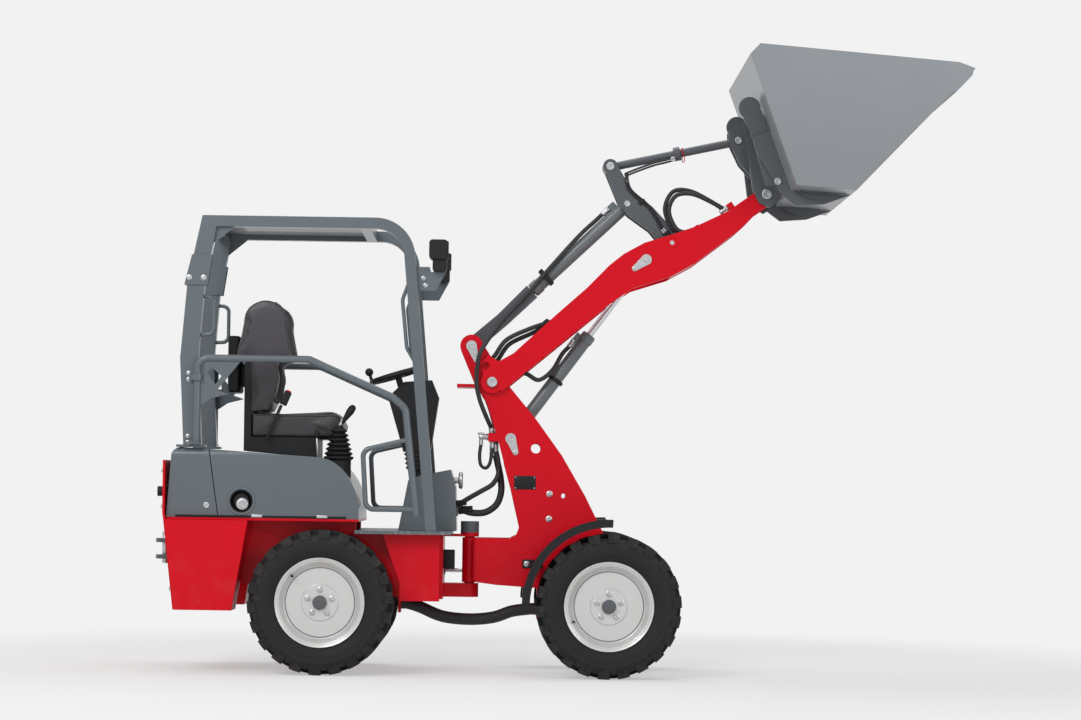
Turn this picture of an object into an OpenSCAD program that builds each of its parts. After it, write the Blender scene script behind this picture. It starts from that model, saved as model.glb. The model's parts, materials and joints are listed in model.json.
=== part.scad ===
// Compact articulated yard loader: raised boom, light-goods bucket, driver's protective frame.
// X runs forward, Z up, Y to the machine's left. Design origin: pivot axis on the ground.

/* [Wheels and axles] */
// Outside diameter of a tyre over its lugs
tyre_d = 690; // [620:1:740]
// Tyre section width
tyre_w = 216; // [190:1:236]
// Lugs round each shoulder of a tyre
lug_count = 22; // [18:1:26]
// Height of the tyre lugs
lug_h = 22; // [14:1:26]
// Diameter over the rim flanges
rim_d = 426; // [390:1:450]
// Distance between the tyre centres across the machine
track = 784; // [760:1:860]
// Pivot axis to front axle
front_axle_x = 668; // [640:1:720]
// Pivot axis to rear axle
rear_axle_x = 701; // [670:1:740]
// Wheel spindle radius
spindle_r = 32; // [26:1:38]
// Axle tube radius
axle_r = 55; // [45:1:65]

/* [Rear frame] */
// Outside half width of the chassis side plates
chassis_y = 235; // [220:1:250]
// Thickness of the chassis plates
chassis_t = 12; // [8:1:14]
// Height of the deck that carries the hood
deck_z = 740; // [725:1:760]
// Underside of the footplate
floor_z = 672; // [665:1:690]
// Thickness of the footplate
floor_t = 16; // [8:1:20]
// Half width of footplate and deck
deck_y = 400; // [380:1:420]
// Front edge of the footplate, behind the pivot axis
floor_front_x = -85; // [-110:1:-75]
// Radius of the articulation pin
pivot_r = 25; // [20:1:28]

/* [Hood and ballast] */
// Half width of the hood
hood_y = 400; // [385:1:410]
// Hood panel thickness
hood_t = 8; // [4:1:12]
// Height of the hood at its rear
hood_z = 1073; // [1040:1:1100]
// Drop of the hood's top between its rear and the seat
hood_drop = 39; // [20:1:60]
// Radius of the hood's long upper edges
hood_edge_r = 40; // [20:1:60]
// Rear end of the hood, behind the pivot axis
hood_rear_x = -1442; // [-1460:1:-1425]
// Half width of the rear ballast
ballast_y = 450; // [430:1:470]
// Underside of the rear ballast
ballast_z = 300; // [280:1:340]

/* [Driver's frame] */
// Top of the roof beams
roof_z = 2178; // [2120:1:2240]
// Depth of the roof beams and front posts
beam_h = 52; // [40:1:60]
// Width of the frame tubes across the machine
post_w = 50; // [40:1:60]
// Distance of the post centres from the mid-plane
post_y = 365; // [350:1:375]
// Outer radius of the bend from roof beam to front post
roof_r = 190; // [150:1:230]
// Height of the bolted lap joint in the rear posts
lap_z = 1862; // [1820:1:1900]
// Gate tube radius
gate_r = 17; // [13:1:18]
// Bend radius of the gate tubes
gate_bend = 50; // [40:1:60]

/* [Loader tower] */
// Clear width between the two tower plates
tower_gap = 190; // [180:1:200]
// Thickness of a tower plate
tower_t = 15; // [10:1:18]
// Height of the arm's pivot
arm_pivot_z = 1412; // [1390:1:1440]
// Radius of the main loader pins
pin_r = 25; // [18:1:28]
// Underside of the front frame beam
beam_low_z = 441; // [437:1:460]
// Top of the front frame beam
beam_top_z = 655; // [640:1:655]

/* [Loader arm and linkage] */
// Arm pivot to bucket pivot
arm_len = 1612; // [1580:1:1640]
// Angle of the arm above the horizontal as parked
arm_angle = 35.2; // [33:0.1:37]
// Thickness of an arm plate
arm_t = 20; // [14:1:24]
// Lever pivot along the arm
lever_x = 1103; // [1090:1:1115]
// Lever pivot to link pin
lever_len = 482; // [470:1:495]
// Bucket pivot to link pin on the coupler
coupler_len = 301; // [290:1:312]
// Radius of the link tube
link_r = 20; // [16:1:24]
// Radius of the link pin
link_pin_r = 20; // [15:1:22]
// Lift cylinder barrel radius
lift_r = 32; // [28:1:34]
// Lift cylinder rod radius
lift_rod_r = 17; // [14:1:20]
// Tilt cylinder tube radius
tilt_r = 33; // [28:1:34]

/* [Bucket] */
// Width of the bucket over its side plates
bucket_w = 1240; // [1100:1:1300]
// Length of the bucket floor with its cutting edge
bucket_floor = 796; // [740:1:840]
// Angle of the bucket floor above the horizontal as parked
bucket_angle = 46.5; // [44:0.1:49]
// Bucket sheet thickness
bucket_t = 8; // [5:1:12]
// Distance of the bucket brackets from the mid-plane
bracket_y = 400; // [380:1:430]

/* [Fits] */
// Radial running clearance of a pin in its eye
fit = 0.05; // [0.02:0.01:0.08]
// Side clearance of a moving piece
side_gap = 6; // [5:1:8]

/* [Hidden] */
$fn = 48;

// Colours
red = [0.80, 0.0, 0.10];
slate = [0.38, 0.42, 0.44];
anthracite = [0.29, 0.31, 0.33];
silver = [0.55, 0.57, 0.59];
bright = [0.80, 0.80, 0.82];
black = [0.10, 0.10, 0.11];
rubber = [0.20, 0.19, 0.20];

// Side geometry in the X-Z plane
wheel_z = tyre_d / 2;
tower_y = tower_gap / 2 + tower_t;
arm_y = tower_y + side_gap;
arm_out_y = arm_y + arm_t;
arm_pivot = [98, arm_pivot_z];
tilt_base = arm_pivot + [-102, 176];
lift_base = arm_pivot + [95, -272];
function turned(p, a) = [p[0] * cos(a) - p[1] * sin(a), p[0] * sin(a) + p[1] * cos(a)];
function on_arm(p) = arm_pivot + turned(p, arm_angle);
lift_eye_on_arm = [953, 68];
lever_on_arm = [lever_x, 65];
lift_eye = on_arm(lift_eye_on_arm);
lever_pivot = on_arm(lever_on_arm);
bucket_pivot = on_arm([arm_len, 0]);
lever_angle = 128.8;
tilt_eye_on_lever = [288, 47];
link_top = lever_pivot + turned([lever_len, 0], lever_angle);
tilt_eye = lever_pivot + turned(tilt_eye_on_lever, lever_angle);
coupler_angle = 116;
link_end = bucket_pivot + turned([coupler_len, 0], coupler_angle);
heel = bucket_pivot + [377, -23];
bucket_tip = heel + turned([bucket_floor, 0], bucket_angle);
hitch_end_x = hood_rear_x - 94;
origin_x = (bucket_tip[0] + hitch_end_x) / 2;

function arc(c, r, a0, a1, n = 10) =
    [for (i = [0:n]) let (a = a0 + (a1 - a0) * i / n) c + r * [cos(a), sin(a)]];
function span(p, q) = norm(q - p);
function heading(p, q) = atan2(q[1] - p[1], q[0] - p[0]);
function hood_top(x) = hood_z - hood_drop * (x - hood_split_x) / (seat_edge_x - hood_split_x);
hood_split_x = -1259;
seat_edge_x = -733;
drive_hose_x = [-331, 330];
pivot_hose_x = -58;

// Shared shapes
// A flat outline in X-Z, from y0 to y0 + t
module slab(y0, t) {
    translate([0, y0 + t, 0])
        rotate([90, 0, 0])
            linear_extrude(t)
                children();
}
// The same on both sides of the mid-plane
module both_sides() {
    children();
    mirror([0, 1, 0]) children();
}
// A round bar across the machine
module cross_bar(p, r, y0, y1) {
    translate([p[0], y1, p[1]])
        rotate([90, 0, 0])
            cylinder(h = y1 - y0, r = r);
}
// Local frame with its origin at p and its x axis at angle a
module in_frame(p, a) {
    translate([p[0], 0, p[1]])
        rotate([0, -a, 0])
            children();
}
// A round bar along the local x axis
module bar_x(r, x0, x1) {
    translate([x0, 0, 0])
        rotate([0, 90, 0])
            cylinder(h = x1 - x0, r = r);
}
module box(x0, x1, y0, y1, z0, z1) {
    translate([x0, y0, z0])
        cube([x1 - x0, y1 - y0, z1 - z0]);
}
// A tube bent in the X-Z plane; the bends are a hair thicker than the straights, which run into them
bend_swell = 0.4;
bend_lap = 2;
module bent_tube(path, r, bend, y) {
    n = len(path);
    turn = [for (i = [0:n - 1]) i == 0 || i == n - 1 ? 0 :
        let (d = heading(path[i], path[i + 1]) - heading(path[i - 1], path[i]))
        d > 180 ? d - 360 : d < -180 ? d + 360 : d];
    cut = [for (a = turn) a == 0 ? 0 : bend * tan(abs(a) / 2) - bend_lap];
    translate([0, y, 0])
        rotate([90, 0, 0]) {
            for (i = [0:n - 2])
                translate(path[i])
                    rotate([0, 0, heading(path[i], path[i + 1])])
                        translate([cut[i], 0, 0])
                            rotate([0, 90, 0])
                                cylinder(h = span(path[i], path[i + 1]) - cut[i] - cut[i + 1], r = r);
            for (i = [1:1:n - 2]) {
                a = heading(path[i - 1], path[i]);
                s = sign(turn[i]);
                translate(path[i] + turned([-cut[i] - bend_lap, s * bend], a))
                    rotate([0, 0, s > 0 ? a - 90 : a + 90 + turn[i]])
                        rotate_extrude(angle = abs(turn[i]))
                            translate([bend, 0])
                                circle(r + bend_swell);
            }
        }
}
// A hose swept along points in space
module hose(points, r, sides = 8) {
    n = len(points);
    tangent = [for (i = [0:n - 1])
        let (d = points[min(i + 1, n - 1)] - points[max(i - 1, 0)]) d / norm(d)];
    rings = [for (i = [0:n - 1])
        let (u = cross(tangent[i], [0, 1, 0.01]), un = u / norm(u), v = cross(tangent[i], un))
        [for (k = [0:sides - 1]) points[i] + r * (un * cos(360 * k / sides) + v * sin(360 * k / sides))]];
    verts = [for (ring = rings) each ring];
    walls = [for (i = [0:n - 2], k = [0:sides - 1])
        let (k1 = (k + 1) % sides)
        [i * sides + k, (i + 1) * sides + k, (i + 1) * sides + k1, i * sides + k1]];
    first = [for (k = [0:sides - 1]) k];
    last = [for (k = [sides - 1:-1:0]) (n - 1) * sides + k];
    polyhedron(points = verts, faces = concat([first], walls, [last]));
}
// A smooth line of points through hand-picked ones
function smooth(p, n = 4) = [for (i = [0:len(p) - 2], k = [0:n - 1])
    let (a = p[max(i - 1, 0)], b = p[i], c = p[i + 1], d = p[min(i + 2, len(p) - 1)], t = k / n)
    0.5 * ((2 * b) + (c - a) * t + (2 * a - 5 * b + 4 * c - d) * t * t
        + (3 * b - a - 3 * c + d) * t * t * t)];
function through(p, n = 4) = concat(smooth(p, n), [p[len(p) - 1]]);
// The same with straight first and last stretches
function routed(p, n = 4) = concat([p[0]], through([for (i = [1:len(p) - 2]) p[i]], n), [p[len(p) - 1]]);

// Wheels
rim_seat_r = rim_d / 2 - 14;
flange_z = 90;
hub_z = 56;
module at_wheel(x, side) {
    translate([x, side * track / 2, wheel_z])
        rotate([-90 * side, 0, 0])
            children();
}
// Carcass with two rows of shoulder lugs, half a pitch apart
module tyre(x, side) {
    half = tyre_w / 2;
    tread_r = tyre_d / 2;
    base_r = tread_r - lug_h;
    wall_r = rim_d / 2 + 77;
    pitch = 360 / lug_count;
    color(rubber)
        at_wheel(x, side) {
            rotate_extrude($fn = 96)
                polygon([
                    [rim_seat_r + fit, -flange_z + 2], [rim_d / 2 + 1, -flange_z + 2],
                    [rim_d / 2 + 37, -half + 2], [wall_r, -half], [base_r - 12, -half + 10],
                    [base_r, -half + 28], [base_r, half - 28], [base_r - 12, half - 10],
                    [wall_r, half], [rim_d / 2 + 37, half - 2],
                    [rim_d / 2 + 1, flange_z - 2], [rim_seat_r + fit, flange_z - 2]
                ]);
            for (s = [0, 1], i = [0:lug_count - 1])
                mirror([0, 0, s])
                    rotate([0, 0, (i + s / 2) * pitch])
                        rotate_extrude(angle = 0.58 * pitch)
                            polygon([[base_r - 10, 5], [tread_r, 9], [tread_r, half - 26],
                                [wall_r + 13, half - 1],
                                [wall_r + 9, half - 6], [base_r - 10, half - 45]]);
        }
}
module rim(x, side) {
    disc_r = rim_seat_r - 25;
    color(bright)
        at_wheel(x, side) {
            difference() {
                rotate_extrude($fn = 96)
                    polygon([
                        [0, -20], [70, -20], [70, hub_z - 8], [disc_r, hub_z - 8],
                        [rim_seat_r - 9, hub_z - 20], [rim_seat_r - 9, -flange_z],
                        [rim_d / 2, -flange_z - 6],
                        [rim_d / 2, -flange_z], [rim_seat_r, -flange_z], [rim_seat_r, flange_z],
                        [rim_d / 2, flange_z], [rim_d / 2, flange_z + 6], [rim_seat_r - 6, flange_z - 2],
                        [disc_r, hub_z + 2], [disc_r - 6, hub_z - 2], [disc_r - 10, hub_z],
                        [90, hub_z], [85, hub_z + 6], [38, hub_z + 6], [35, hub_z + 24], [0, hub_z + 24]
                    ]);
                translate([0, 0, -21])
                    cylinder(h = hub_z + 21, r = spindle_r + fit);
            }
        }
}
module axle(x) {
    flange_y = track / 2 - 21;
    color(anthracite)
        translate([x, 0, wheel_z])
            rotate([90, 0, 0])
                difference() {
                    union() {
                        cylinder(h = 2 * flange_y, r = axle_r, center = true);
                        cylinder(h = 2 * (track / 2 + hub_z - 6), r = spindle_r, center = true);
                        for (s = [-1, 1])
                            translate([0, 0, s * (flange_y - 20)])
                                cylinder(h = 40, r = axle_r + 28, center = true);
                        cylinder(h = 170, r = axle_r + 50, center = true);
                        translate([-70, 0, -chassis_y])
                            cube([140, axle_pad_z - wheel_z, 2 * chassis_y]);
                    }
                    translate([-200, axle_pad_z - wheel_z, -200])
                        cube([400, 200, 400]);
                }
}
axle_pad_z = 400;

// Rear frame
pan_z = 430;
front_wall_x = -125;
lower_eye_z = [365, beam_low_z - 9];
upper_eye_z = [beam_top_z + 5, 735];
eye_r = pivot_r + 20;
module rear_frame() {
    side = [
        [frame_rear_x, floor_z], [front_wall_x, floor_z], [front_wall_x, 360],
        [-330, 360], [-430, axle_pad_z], [-1000, axle_pad_z], [-1100, pan_z], [frame_rear_x, pan_z]
    ];
    color(red) {
        both_sides() {
            slab(chassis_y - chassis_t, chassis_t) polygon(side);
            slab(chassis_y, 85)
                polygon([[-415, floor_z], [-140, floor_z], [-140, 352], [-330, 352], [-330, 440]]);
        }
        box(frame_rear_x, front_wall_x, -chassis_y + chassis_t, chassis_y - chassis_t, pan_z,
            pan_z + chassis_t);
        box(drive_hose_x[0] - 14, drive_hose_x[0], -45, 45, 285, pan_z + 1);
        difference() {
            box(front_wall_x - chassis_t, front_wall_x, -chassis_y, chassis_y, 360, floor_z);
            box(front_wall_x - 50, front_wall_x + 50, steer_y - 62, steer_y + 62, pan_z + chassis_t,
                steer_z + 50);
        }
        box(frame_rear_x, frame_rear_x + chassis_t, -chassis_y, chassis_y, pan_z, floor_z);
        box(front_wall_x - 1, 0, -eye_r, eye_r, lower_eye_z[0], lower_eye_z[1]);
        box(front_wall_x - 1, 0, -eye_r, eye_r, upper_eye_z[0], floor_z);
        for (z = [lower_eye_z, upper_eye_z])
            translate([0, 0, z[0]])
                cylinder(h = z[1] - z[0], r = eye_r);
        translate([0, 0, lower_eye_z[0]])
            cylinder(h = upper_eye_z[1] - lower_eye_z[0], r = pivot_r);
        for (z = [steer_z - 42, steer_z + 30])
            box(-465, -390, steer_y - 32, chassis_y, z, z + chassis_t);
        translate([steer_base_x, steer_y, steer_z - 42])
            cylinder(h = 84, r = steer_pin_r);
    }
}
frame_rear_x = -1400;
step_x = -545;
engine_x = [-1330, -780];
engine_y = 200;
rops_foot_x = [-1366, -1281];
// Deck over the engine bay, on the side plates, with the feet of the driver's frame
module deck() {
    color(red) {
        both_sides() {
            box(frame_rear_x, step_x, chassis_y - chassis_t, chassis_y, floor_z, deck_z);
            box(rops_foot_x[0], rops_foot_x[1], post_y - post_w / 2, post_y + post_w / 2 - 5,
                deck_z - chassis_t, hood_z - hood_edge_r);
        }
        difference() {
            box(hood_rear_x, hood_front_x, -deck_y, deck_y, deck_z - chassis_t, deck_z);
            box(engine_x[0] - 10, engine_x[1] + 10, -engine_y - 10, engine_y + 10, 0, 1000);
        }
        box(frame_rear_x, frame_rear_x + chassis_t, -chassis_y, chassis_y, floor_z, deck_z);
    }
}
module engine_block() {
    color(anthracite)
        box(engine_x[0], engine_x[1], -engine_y, engine_y, pan_z + chassis_t, 980);
}
ballast_top = deck_z - chassis_t;
ballast_low_x = -1392;
module ballast() {
    outline = [[hood_rear_x, ballast_top], [-1050, ballast_top], [-1121, ballast_z],
        [ballast_low_x, ballast_z]];
    color(red) {
        both_sides()
            slab(chassis_y + 2, ballast_y - chassis_y - 2)
                polygon(outline);
        intersection() {
            slab(-ballast_y, 2 * ballast_y) polygon(outline);
            box(hood_rear_x - 1, -1402, -ballast_y, ballast_y, 0, 2000);
        }
    }
}
tail_t = 10;
exhaust_y = -320;
exhaust_z = 861;
exhaust_r = 24;
hitch_z = 580;
// Front face of the tail plate below the deck, on the ballast's rear
function tail_x(z) = hood_rear_x + (ballast_low_x - hood_rear_x) * (ballast_top - z) / (ballast_top - ballast_z);
module tail_plate() {
    fold_z = deck_z + 20;
    top_z = 1010;
    set_off = 5;
    color(red)
        difference() {
            slab(-ballast_y + 20, 2 * (ballast_y - 20))
                polygon([[hood_rear_x - set_off, top_z], [hood_rear_x - set_off, fold_z],
                    [hood_rear_x, ballast_top],
                    [ballast_low_x, ballast_z], [ballast_low_x - tail_t, ballast_z],
                    [hood_rear_x - tail_t, ballast_top], [hood_rear_x - set_off - tail_t, fold_z],
                    [hood_rear_x - set_off - tail_t, top_z]]);
            translate([hood_rear_x - 50, exhaust_y, exhaust_z])
                rotate([0, 90, 0])
                    cylinder(h = 100, r = exhaust_r + 12);
        }
}
module tow_jaw() {
    foot = [hitch_z - 85, hitch_z + 85];
    foot_t = 16;
    face = [for (z = foot) [tail_x(z) - tail_t, z]];
    color(anthracite)
        difference() {
            union() {
                slab(-70, 140)
                    polygon([face[0], face[1], face[1] - [foot_t, 0], face[0] - [foot_t, 0]]);
                for (z = [hitch_z - 50, hitch_z + 30]) {
                    box(hitch_end_x + 45, tail_x(z) - tail_t - 8, -45, 45, z, z + 20);
                    translate([hitch_end_x + 45, 0, z])
                        cylinder(h = 20, r = 45);
                }
            }
            translate([hitch_end_x + 45, 0, 0])
                cylinder(h = 1000, r = hitch_hole_r);
        }
}
hitch_hole_r = 16;
module exhaust() {
    color(black)
        translate([0, exhaust_y, exhaust_z])
            rotate([0, 90, 0])
                difference() {
                    union() {
                        translate([0, 0, hood_rear_x - 50])
                            cylinder(h = 110, r = exhaust_r);
                        translate([0, 0, hood_rear_x - 4])
                            cylinder(h = 4, r = exhaust_r + 10);
                    }
                    translate([0, 0, hood_rear_x - 51])
                        cylinder(h = 90, r = exhaust_r - 3);
                }
}

// Hood
hood_front_x = -526;
nose_z = 763;
module hood_side(t) {
    front_x = hood_front_x;
    r = 45;
    polygon(concat(
        [[front_x - t, deck_z]],
        [for (a = [0:9:90]) [front_x - t - (front_x - seat_edge_x) * (1 - cos(a)),
            nose_z + (hood_top(seat_edge_x) - t - nose_z) * sin(a)]],
        arc([hood_rear_x + 20 + r, hood_z - r], r - t, 90, 170),
        [[hood_rear_x + t, deck_z]]
    ));
}
module hood_solid(t) {
    y = hood_y - t;
    e = hood_edge_r - t;
    intersection() {
        slab(-y, 2 * y) hood_side(t);
        translate([-2000, 0, 0])
            rotate([90, 0, 90])
                linear_extrude(2000)
                    union() {
                        translate([-y, 0]) square([2 * y, hood_z - hood_edge_r]);
                        translate([-y + e, 0]) square([2 * (y - e), hood_z + 10]);
                        for (s = [-1, 1])
                            translate([s * (y - e), hood_z - hood_edge_r])
                                circle(e);
                    }
    }
}
module hood_shell() {
    difference() {
        hood_solid(0);
        translate([0, 0, -1]) hood_solid(hood_t);
    }
}
module hood_split(front) {
    gap = 2;
    x = front ? gap : -gap;
    far = front ? 0 : -2000;
    slab(-500, 1000)
        polygon([[hood_split_x - 3 + x, 1200], [-1192 + x, deck_z - 20], [far, deck_z - 20], [far, 1200]]);
}
module rear_hood() {
    color(slate)
        difference() {
            intersection() {
                hood_shell();
                hood_split(false);
            }
            translate([hood_rear_x - 10, exhaust_y, exhaust_z])
                rotate([0, 90, 0])
                    cylinder(h = 40, r = exhaust_r + 1);
        }
}
filler = [-1085, 820];
filler_r = 55;
module seat_hood() {
    color(slate)
        difference() {
            union() {
                intersection() {
                    hood_shell();
                    hood_split(true);
                }
                cross_bar(filler, filler_r + 12, -hood_y - 4, -hood_y + 1);
            }
            cross_bar(filler, filler_r, -hood_y - 5, -hood_y + hood_t + 1);
            translate([lever_at[0], lever_at[1], deck_z + 100])
                cylinder(h = 400, r = lever_foot_r + 1);
        }
}
module fuel_filler() {
    color(black) {
        difference() {
            cross_bar(filler, filler_r - 0.3, -hood_y, -hood_y + 60);
            cross_bar(filler, filler_r - 6, -hood_y - 1, -hood_y + 54);
        }
        cross_bar(filler, 35, -hood_y + 6, -hood_y + 55);
    }
}

// Driver's place
module floor_plate() {
    color(slate)
        box(step_x, floor_front_x, -deck_y, deck_y, floor_z, floor_z + floor_t);
}
console_y = 190;
console_top = 985;
module console() {
    z0 = floor_z + floor_t;
    color(slate) {
        box(pivot_hose_x - 30, pivot_hose_x, -60, 60, 760, 820);
        difference() {
            slab(-console_y, 2 * console_y)
                polygon([[-345, z0], [-300, 930], [-240, 955], [-95, console_top], [-70, 900],
                    [floor_front_x + 21, z0]]);
            slab(-console_y + 6, 2 * console_y - 12)
                polygon([[-335, z0 - 1], [-294, 925], [-240, 948], [-98, console_top - 8], [-77, 900],
                    [floor_front_x + 14, z0 - 1]]);
        }
    }
}
wheel_hub = [-365, 1445];
steer_tilt = 17;
module steering_column() {
    folds = 5;
    fold_h = 22;
    color(black) {
        slab(-70, 140)
            polygon([[-331, 1070], [-336, 1093], [-408, 1335], [-330, 1410], [-195, 1420], [-160, 1335],
                [-195, 1093], [-200, 1070]]);
        slab(-52, 104)
            polygon([[-300, 930.2], [-320, 1080], [-205, 1080], [-215, 960.4], [-240, 955.2]]);
        for (i = [0:folds - 1]) {
            y = 72 - 2 * i;
            rear = -318 - 3 * i;
            front = -190 - 3 * i;
            slab(-y, 2 * y)
                translate([0, 992 + i * fold_h])
                    polygon([[rear, 0], [rear + 10, -fold_h / 2 + 1], [front - 10, -fold_h / 2 + 1],
                        [front, 0],
                        [front - 10, fold_h / 2 - 1], [rear + 10, fold_h / 2 - 1]]);
        }
        in_frame(wheel_hub, 90 + steer_tilt)
            bar_x(16, -120, -13.5);
    }
}
module steering_wheel() {
    color(black)
        translate([wheel_hub[0], 0, wheel_hub[1]])
            rotate([0, -steer_tilt, 0]) {
                rotate_extrude() translate([130, 0]) circle(13);
                translate([0, 0, -13]) cylinder(h = 26, r = 34);
                for (a = [30, 150, 270])
                    rotate([0, 0, a]) bar_x(9, 20, 125);
                rotate([0, 0, 180]) translate([130, 0, 0]) {
                    cylinder(h = 40, r = 8);
                    translate([0, 0, 52]) sphere(20);
                }
            }
}
lever_at = [-632, -285];
lever_foot_r = 60;
boot_z = 1034;
module control_lever() {
    color(black)
        translate([lever_at[0], lever_at[1], 0]) {
            translate([0, 0, deck_z])
                cylinder(h = boot_z - deck_z, r = lever_foot_r);
            translate([0, 0, boot_z])
                cylinder(h = 160, r1 = 70, r2 = 36);
            translate([0, 0, boot_z + 150]) rotate([0, 12, 0]) cylinder(h = 60, r = 12);
            translate([10, 0, boot_z + 190]) rotate([0, 35, 0]) cylinder(h = 84, r = 22);
        }
}
seat_y = 230;
seat_x = [-1090, -604];
module seat_base() {
    color(black)
        slab(-seat_y + 20, 2 * seat_y - 40)
            polygon([[-1095, hood_top(-1095)], [-740, hood_top(-740)], [-740, 1130], [-1060, 1130],
                [-1060, 1500], [-1095, 1500]]);
}
module seat_cushion() {
    color(black)
        slab(-seat_y, 2 * seat_y)
            polygon([[-1059.7, 1130.3], [-640, 1130.3], [seat_x[1], 1190], [-640, 1250], [-900, 1235],
                [-1059.7, 1240]]);
}
// Back with wings that wrap round the driver
module seat_back() {
    shell_x = -1059.7;
    wing_t = 60;
    top = [-994, 1690];
    top_r = 104;
    color(black)
        difference() {
            slab(-seat_y, 2 * seat_y)
                polygon(concat([[shell_x, 1241], [-985, 1250], [-941, 1337], [-925, 1413], [-938, 1480],
                    [-866, 1520]],
                    arc(top, top_r, -15, 180), [[-1128, 1520], [-1122, 1501], [shell_x, 1501]]));
            slab(-seat_y + wing_t, 2 * (seat_y - wing_t))
                polygon([[-985, 1300], [-1010, 1500], [-1015, 1830], [-800, 1830], [-800, 1300]]);
        }
}

// Driver's protective frame
post_lean = 5.19;
post_foot_x = -182;
corner_x = post_foot_x + beam_h / 2 - (roof_z - floor_z - floor_t) * tan(post_lean);
corner_c = [corner_x - roof_r * tan((90 - post_lean) / 2), roof_z - roof_r];
foot_half = beam_h / 2 / cos(post_lean);
function post_front(z) = post_foot_x + foot_half - (z - floor_z - floor_t) * tan(post_lean);
module roof_frame() {
    z0 = floor_z + floor_t;
    side = concat(
        [[-1357, lap_z], [-1290, roof_z]],
        arc(corner_c, roof_r, 90, post_lean),
        [[post_foot_x + foot_half, z0], [post_foot_x - foot_half, z0]],
        arc(corner_c, roof_r - beam_h, post_lean, 90),
        [[-1222, roof_z - beam_h], [-1275, lap_z]]
    );
    color(slate) {
        both_sides() {
            slab(post_y - post_w / 2, post_w) polygon(side);
            for (y = [post_y - post_w / 2 - 6, post_y + post_w / 2])
                slab(y, 6)
                    polygon([[-1372, 1845], [-1337, 1990], [-1240, 1990], [-1262, 1845]]);
        }
        both_sides()
            slab(post_y - 5, 10)
                polygon([[-1232, roof_z - beam_h + 1], [-1140, roof_z - beam_h + 1], [-1252, 2035]]);
        both_sides()
            slab(post_y - 4, 8)
                polygon([[post_front(1880) - 4, 1880], [post_front(1948) - 4, 1948], [-206, 1948],
                    [-200, lamp_z - 0.3], [-128, lamp_z - 0.3], [-176, 1836], [-262, 1836]]);
        for (side = [-1, 1])
            bent_tube([[-298, 1890], [-334, 1790], [-310, 1560], [-262, 1480]], handle_r, 60,
                side * post_y);
        box(-1290, -1230, -post_y, post_y, roof_z - beam_h, roof_z);
        box(-540, -490, -post_y, post_y, roof_z - beam_h, roof_z);
    }
}
module roof_panel() {
    color(anthracite)
        box(-1230, -540, -post_y + post_w / 2, post_y - post_w / 2, roof_z - 30, roof_z - 20);
}
handle_r = 9;
module rear_posts() {
    z0 = hood_z + 3;
    color(slate) {
        for (side = [-1, 1])
            bent_tube([[-1298, 1794], [-1232, 1790], [-1232, 1612], [-1310, 1608]], handle_r, 30,
                side * post_y);
        both_sides() {
            slab(post_y - post_w / 2, post_w)
                polygon([[-1366, z0], [-1387, 1500], [-1357, lap_z], [-1275, lap_z], [-1302, 1502],
                    [-1281, z0]]);
            box(-1400, -1260, post_y - post_w / 2 - 10, post_y + post_w / 2, hood_z + 0.3, hood_z + 12);
            difference() {
                union() {
                    box(gate_x - 60, gate_x, post_y, gate_y + 8, gate_hinge_z - 12, gate_hinge_z - 1);
                    translate([gate_x, gate_y, gate_hinge_z - 12]) cylinder(h = 11, r = gate_r + 4);
                    translate([gate_x, gate_y, gate_hinge_z - 12]) cylinder(h = 50, r = gate_pin_r);
                    box(gate_x - 40, gate_x, post_y, gate_y, 1390, 1420);
                    translate([gate_x, gate_y, 1390]) cylinder(h = 30, r = gate_r + 9);
                }
                translate([gate_x, gate_y, 1380]) cylinder(h = 50, r = gate_r + fit);
            }
        }
    }
}
module rounded(x0, x1, z0, z1, r) {
    polygon(concat(arc([x1 - r, z1 - r], r, 0, 90, 4), arc([x0 + r, z1 - r], r, 90, 180, 4),
        arc([x0 + r, z0 + r], r, 180, 270, 4), arc([x1 - r, z0 + r], r, 270, 360, 4)));
}
lamp_z = 1925;
module work_lamps() {
    color(black)
        both_sides() {
            slab(post_y - 55, 110)
                rounded(-209, -121, 1984, 2076, 16);
            slab(post_y - 42, 84)
                rounded(-192, -124, lamp_z, 2000, 14);
        }
}
gate_x = -1300;
gate_y = post_y + post_w / 2 + side_gap + gate_r;
gate_hinge_z = 1100;
gate_pin_r = 8;
module gate(side) {
    main = [[gate_x, gate_hinge_z], [gate_x, 1497], [-770, 1497], [-375, 1325], [-310, 1270], [-252, 760]];
    loop = [[-296, 1122], [-510, 1070], [-492, 790], [-255, 790]];
    color(slate)
        difference() {
            union() {
                bent_tube(main, gate_r, gate_bend, side * gate_y);
                bent_tube(loop, 12, 40, side * gate_y);
                slab(side * gate_y - 4, 8)
                    difference() {
                        polygon([[-1268, 1490], [-1090, 1490], [-1206, 1345], [-1152, 1328], [-1235, 1306],
                            [gate_x, 1262], [gate_x, 1375], [-1268, 1375]]);
                        polygon([[-1256, 1428], [-1230, 1450], [-1186, 1412], [-1214, 1372]]);
                    }
            }
            translate([gate_x, side * gate_y, gate_hinge_z - 1])
                cylinder(h = 41, r = gate_pin_r + fit);
        }
}
module gate_right() gate(-1);
module gate_left() gate(1);

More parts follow.
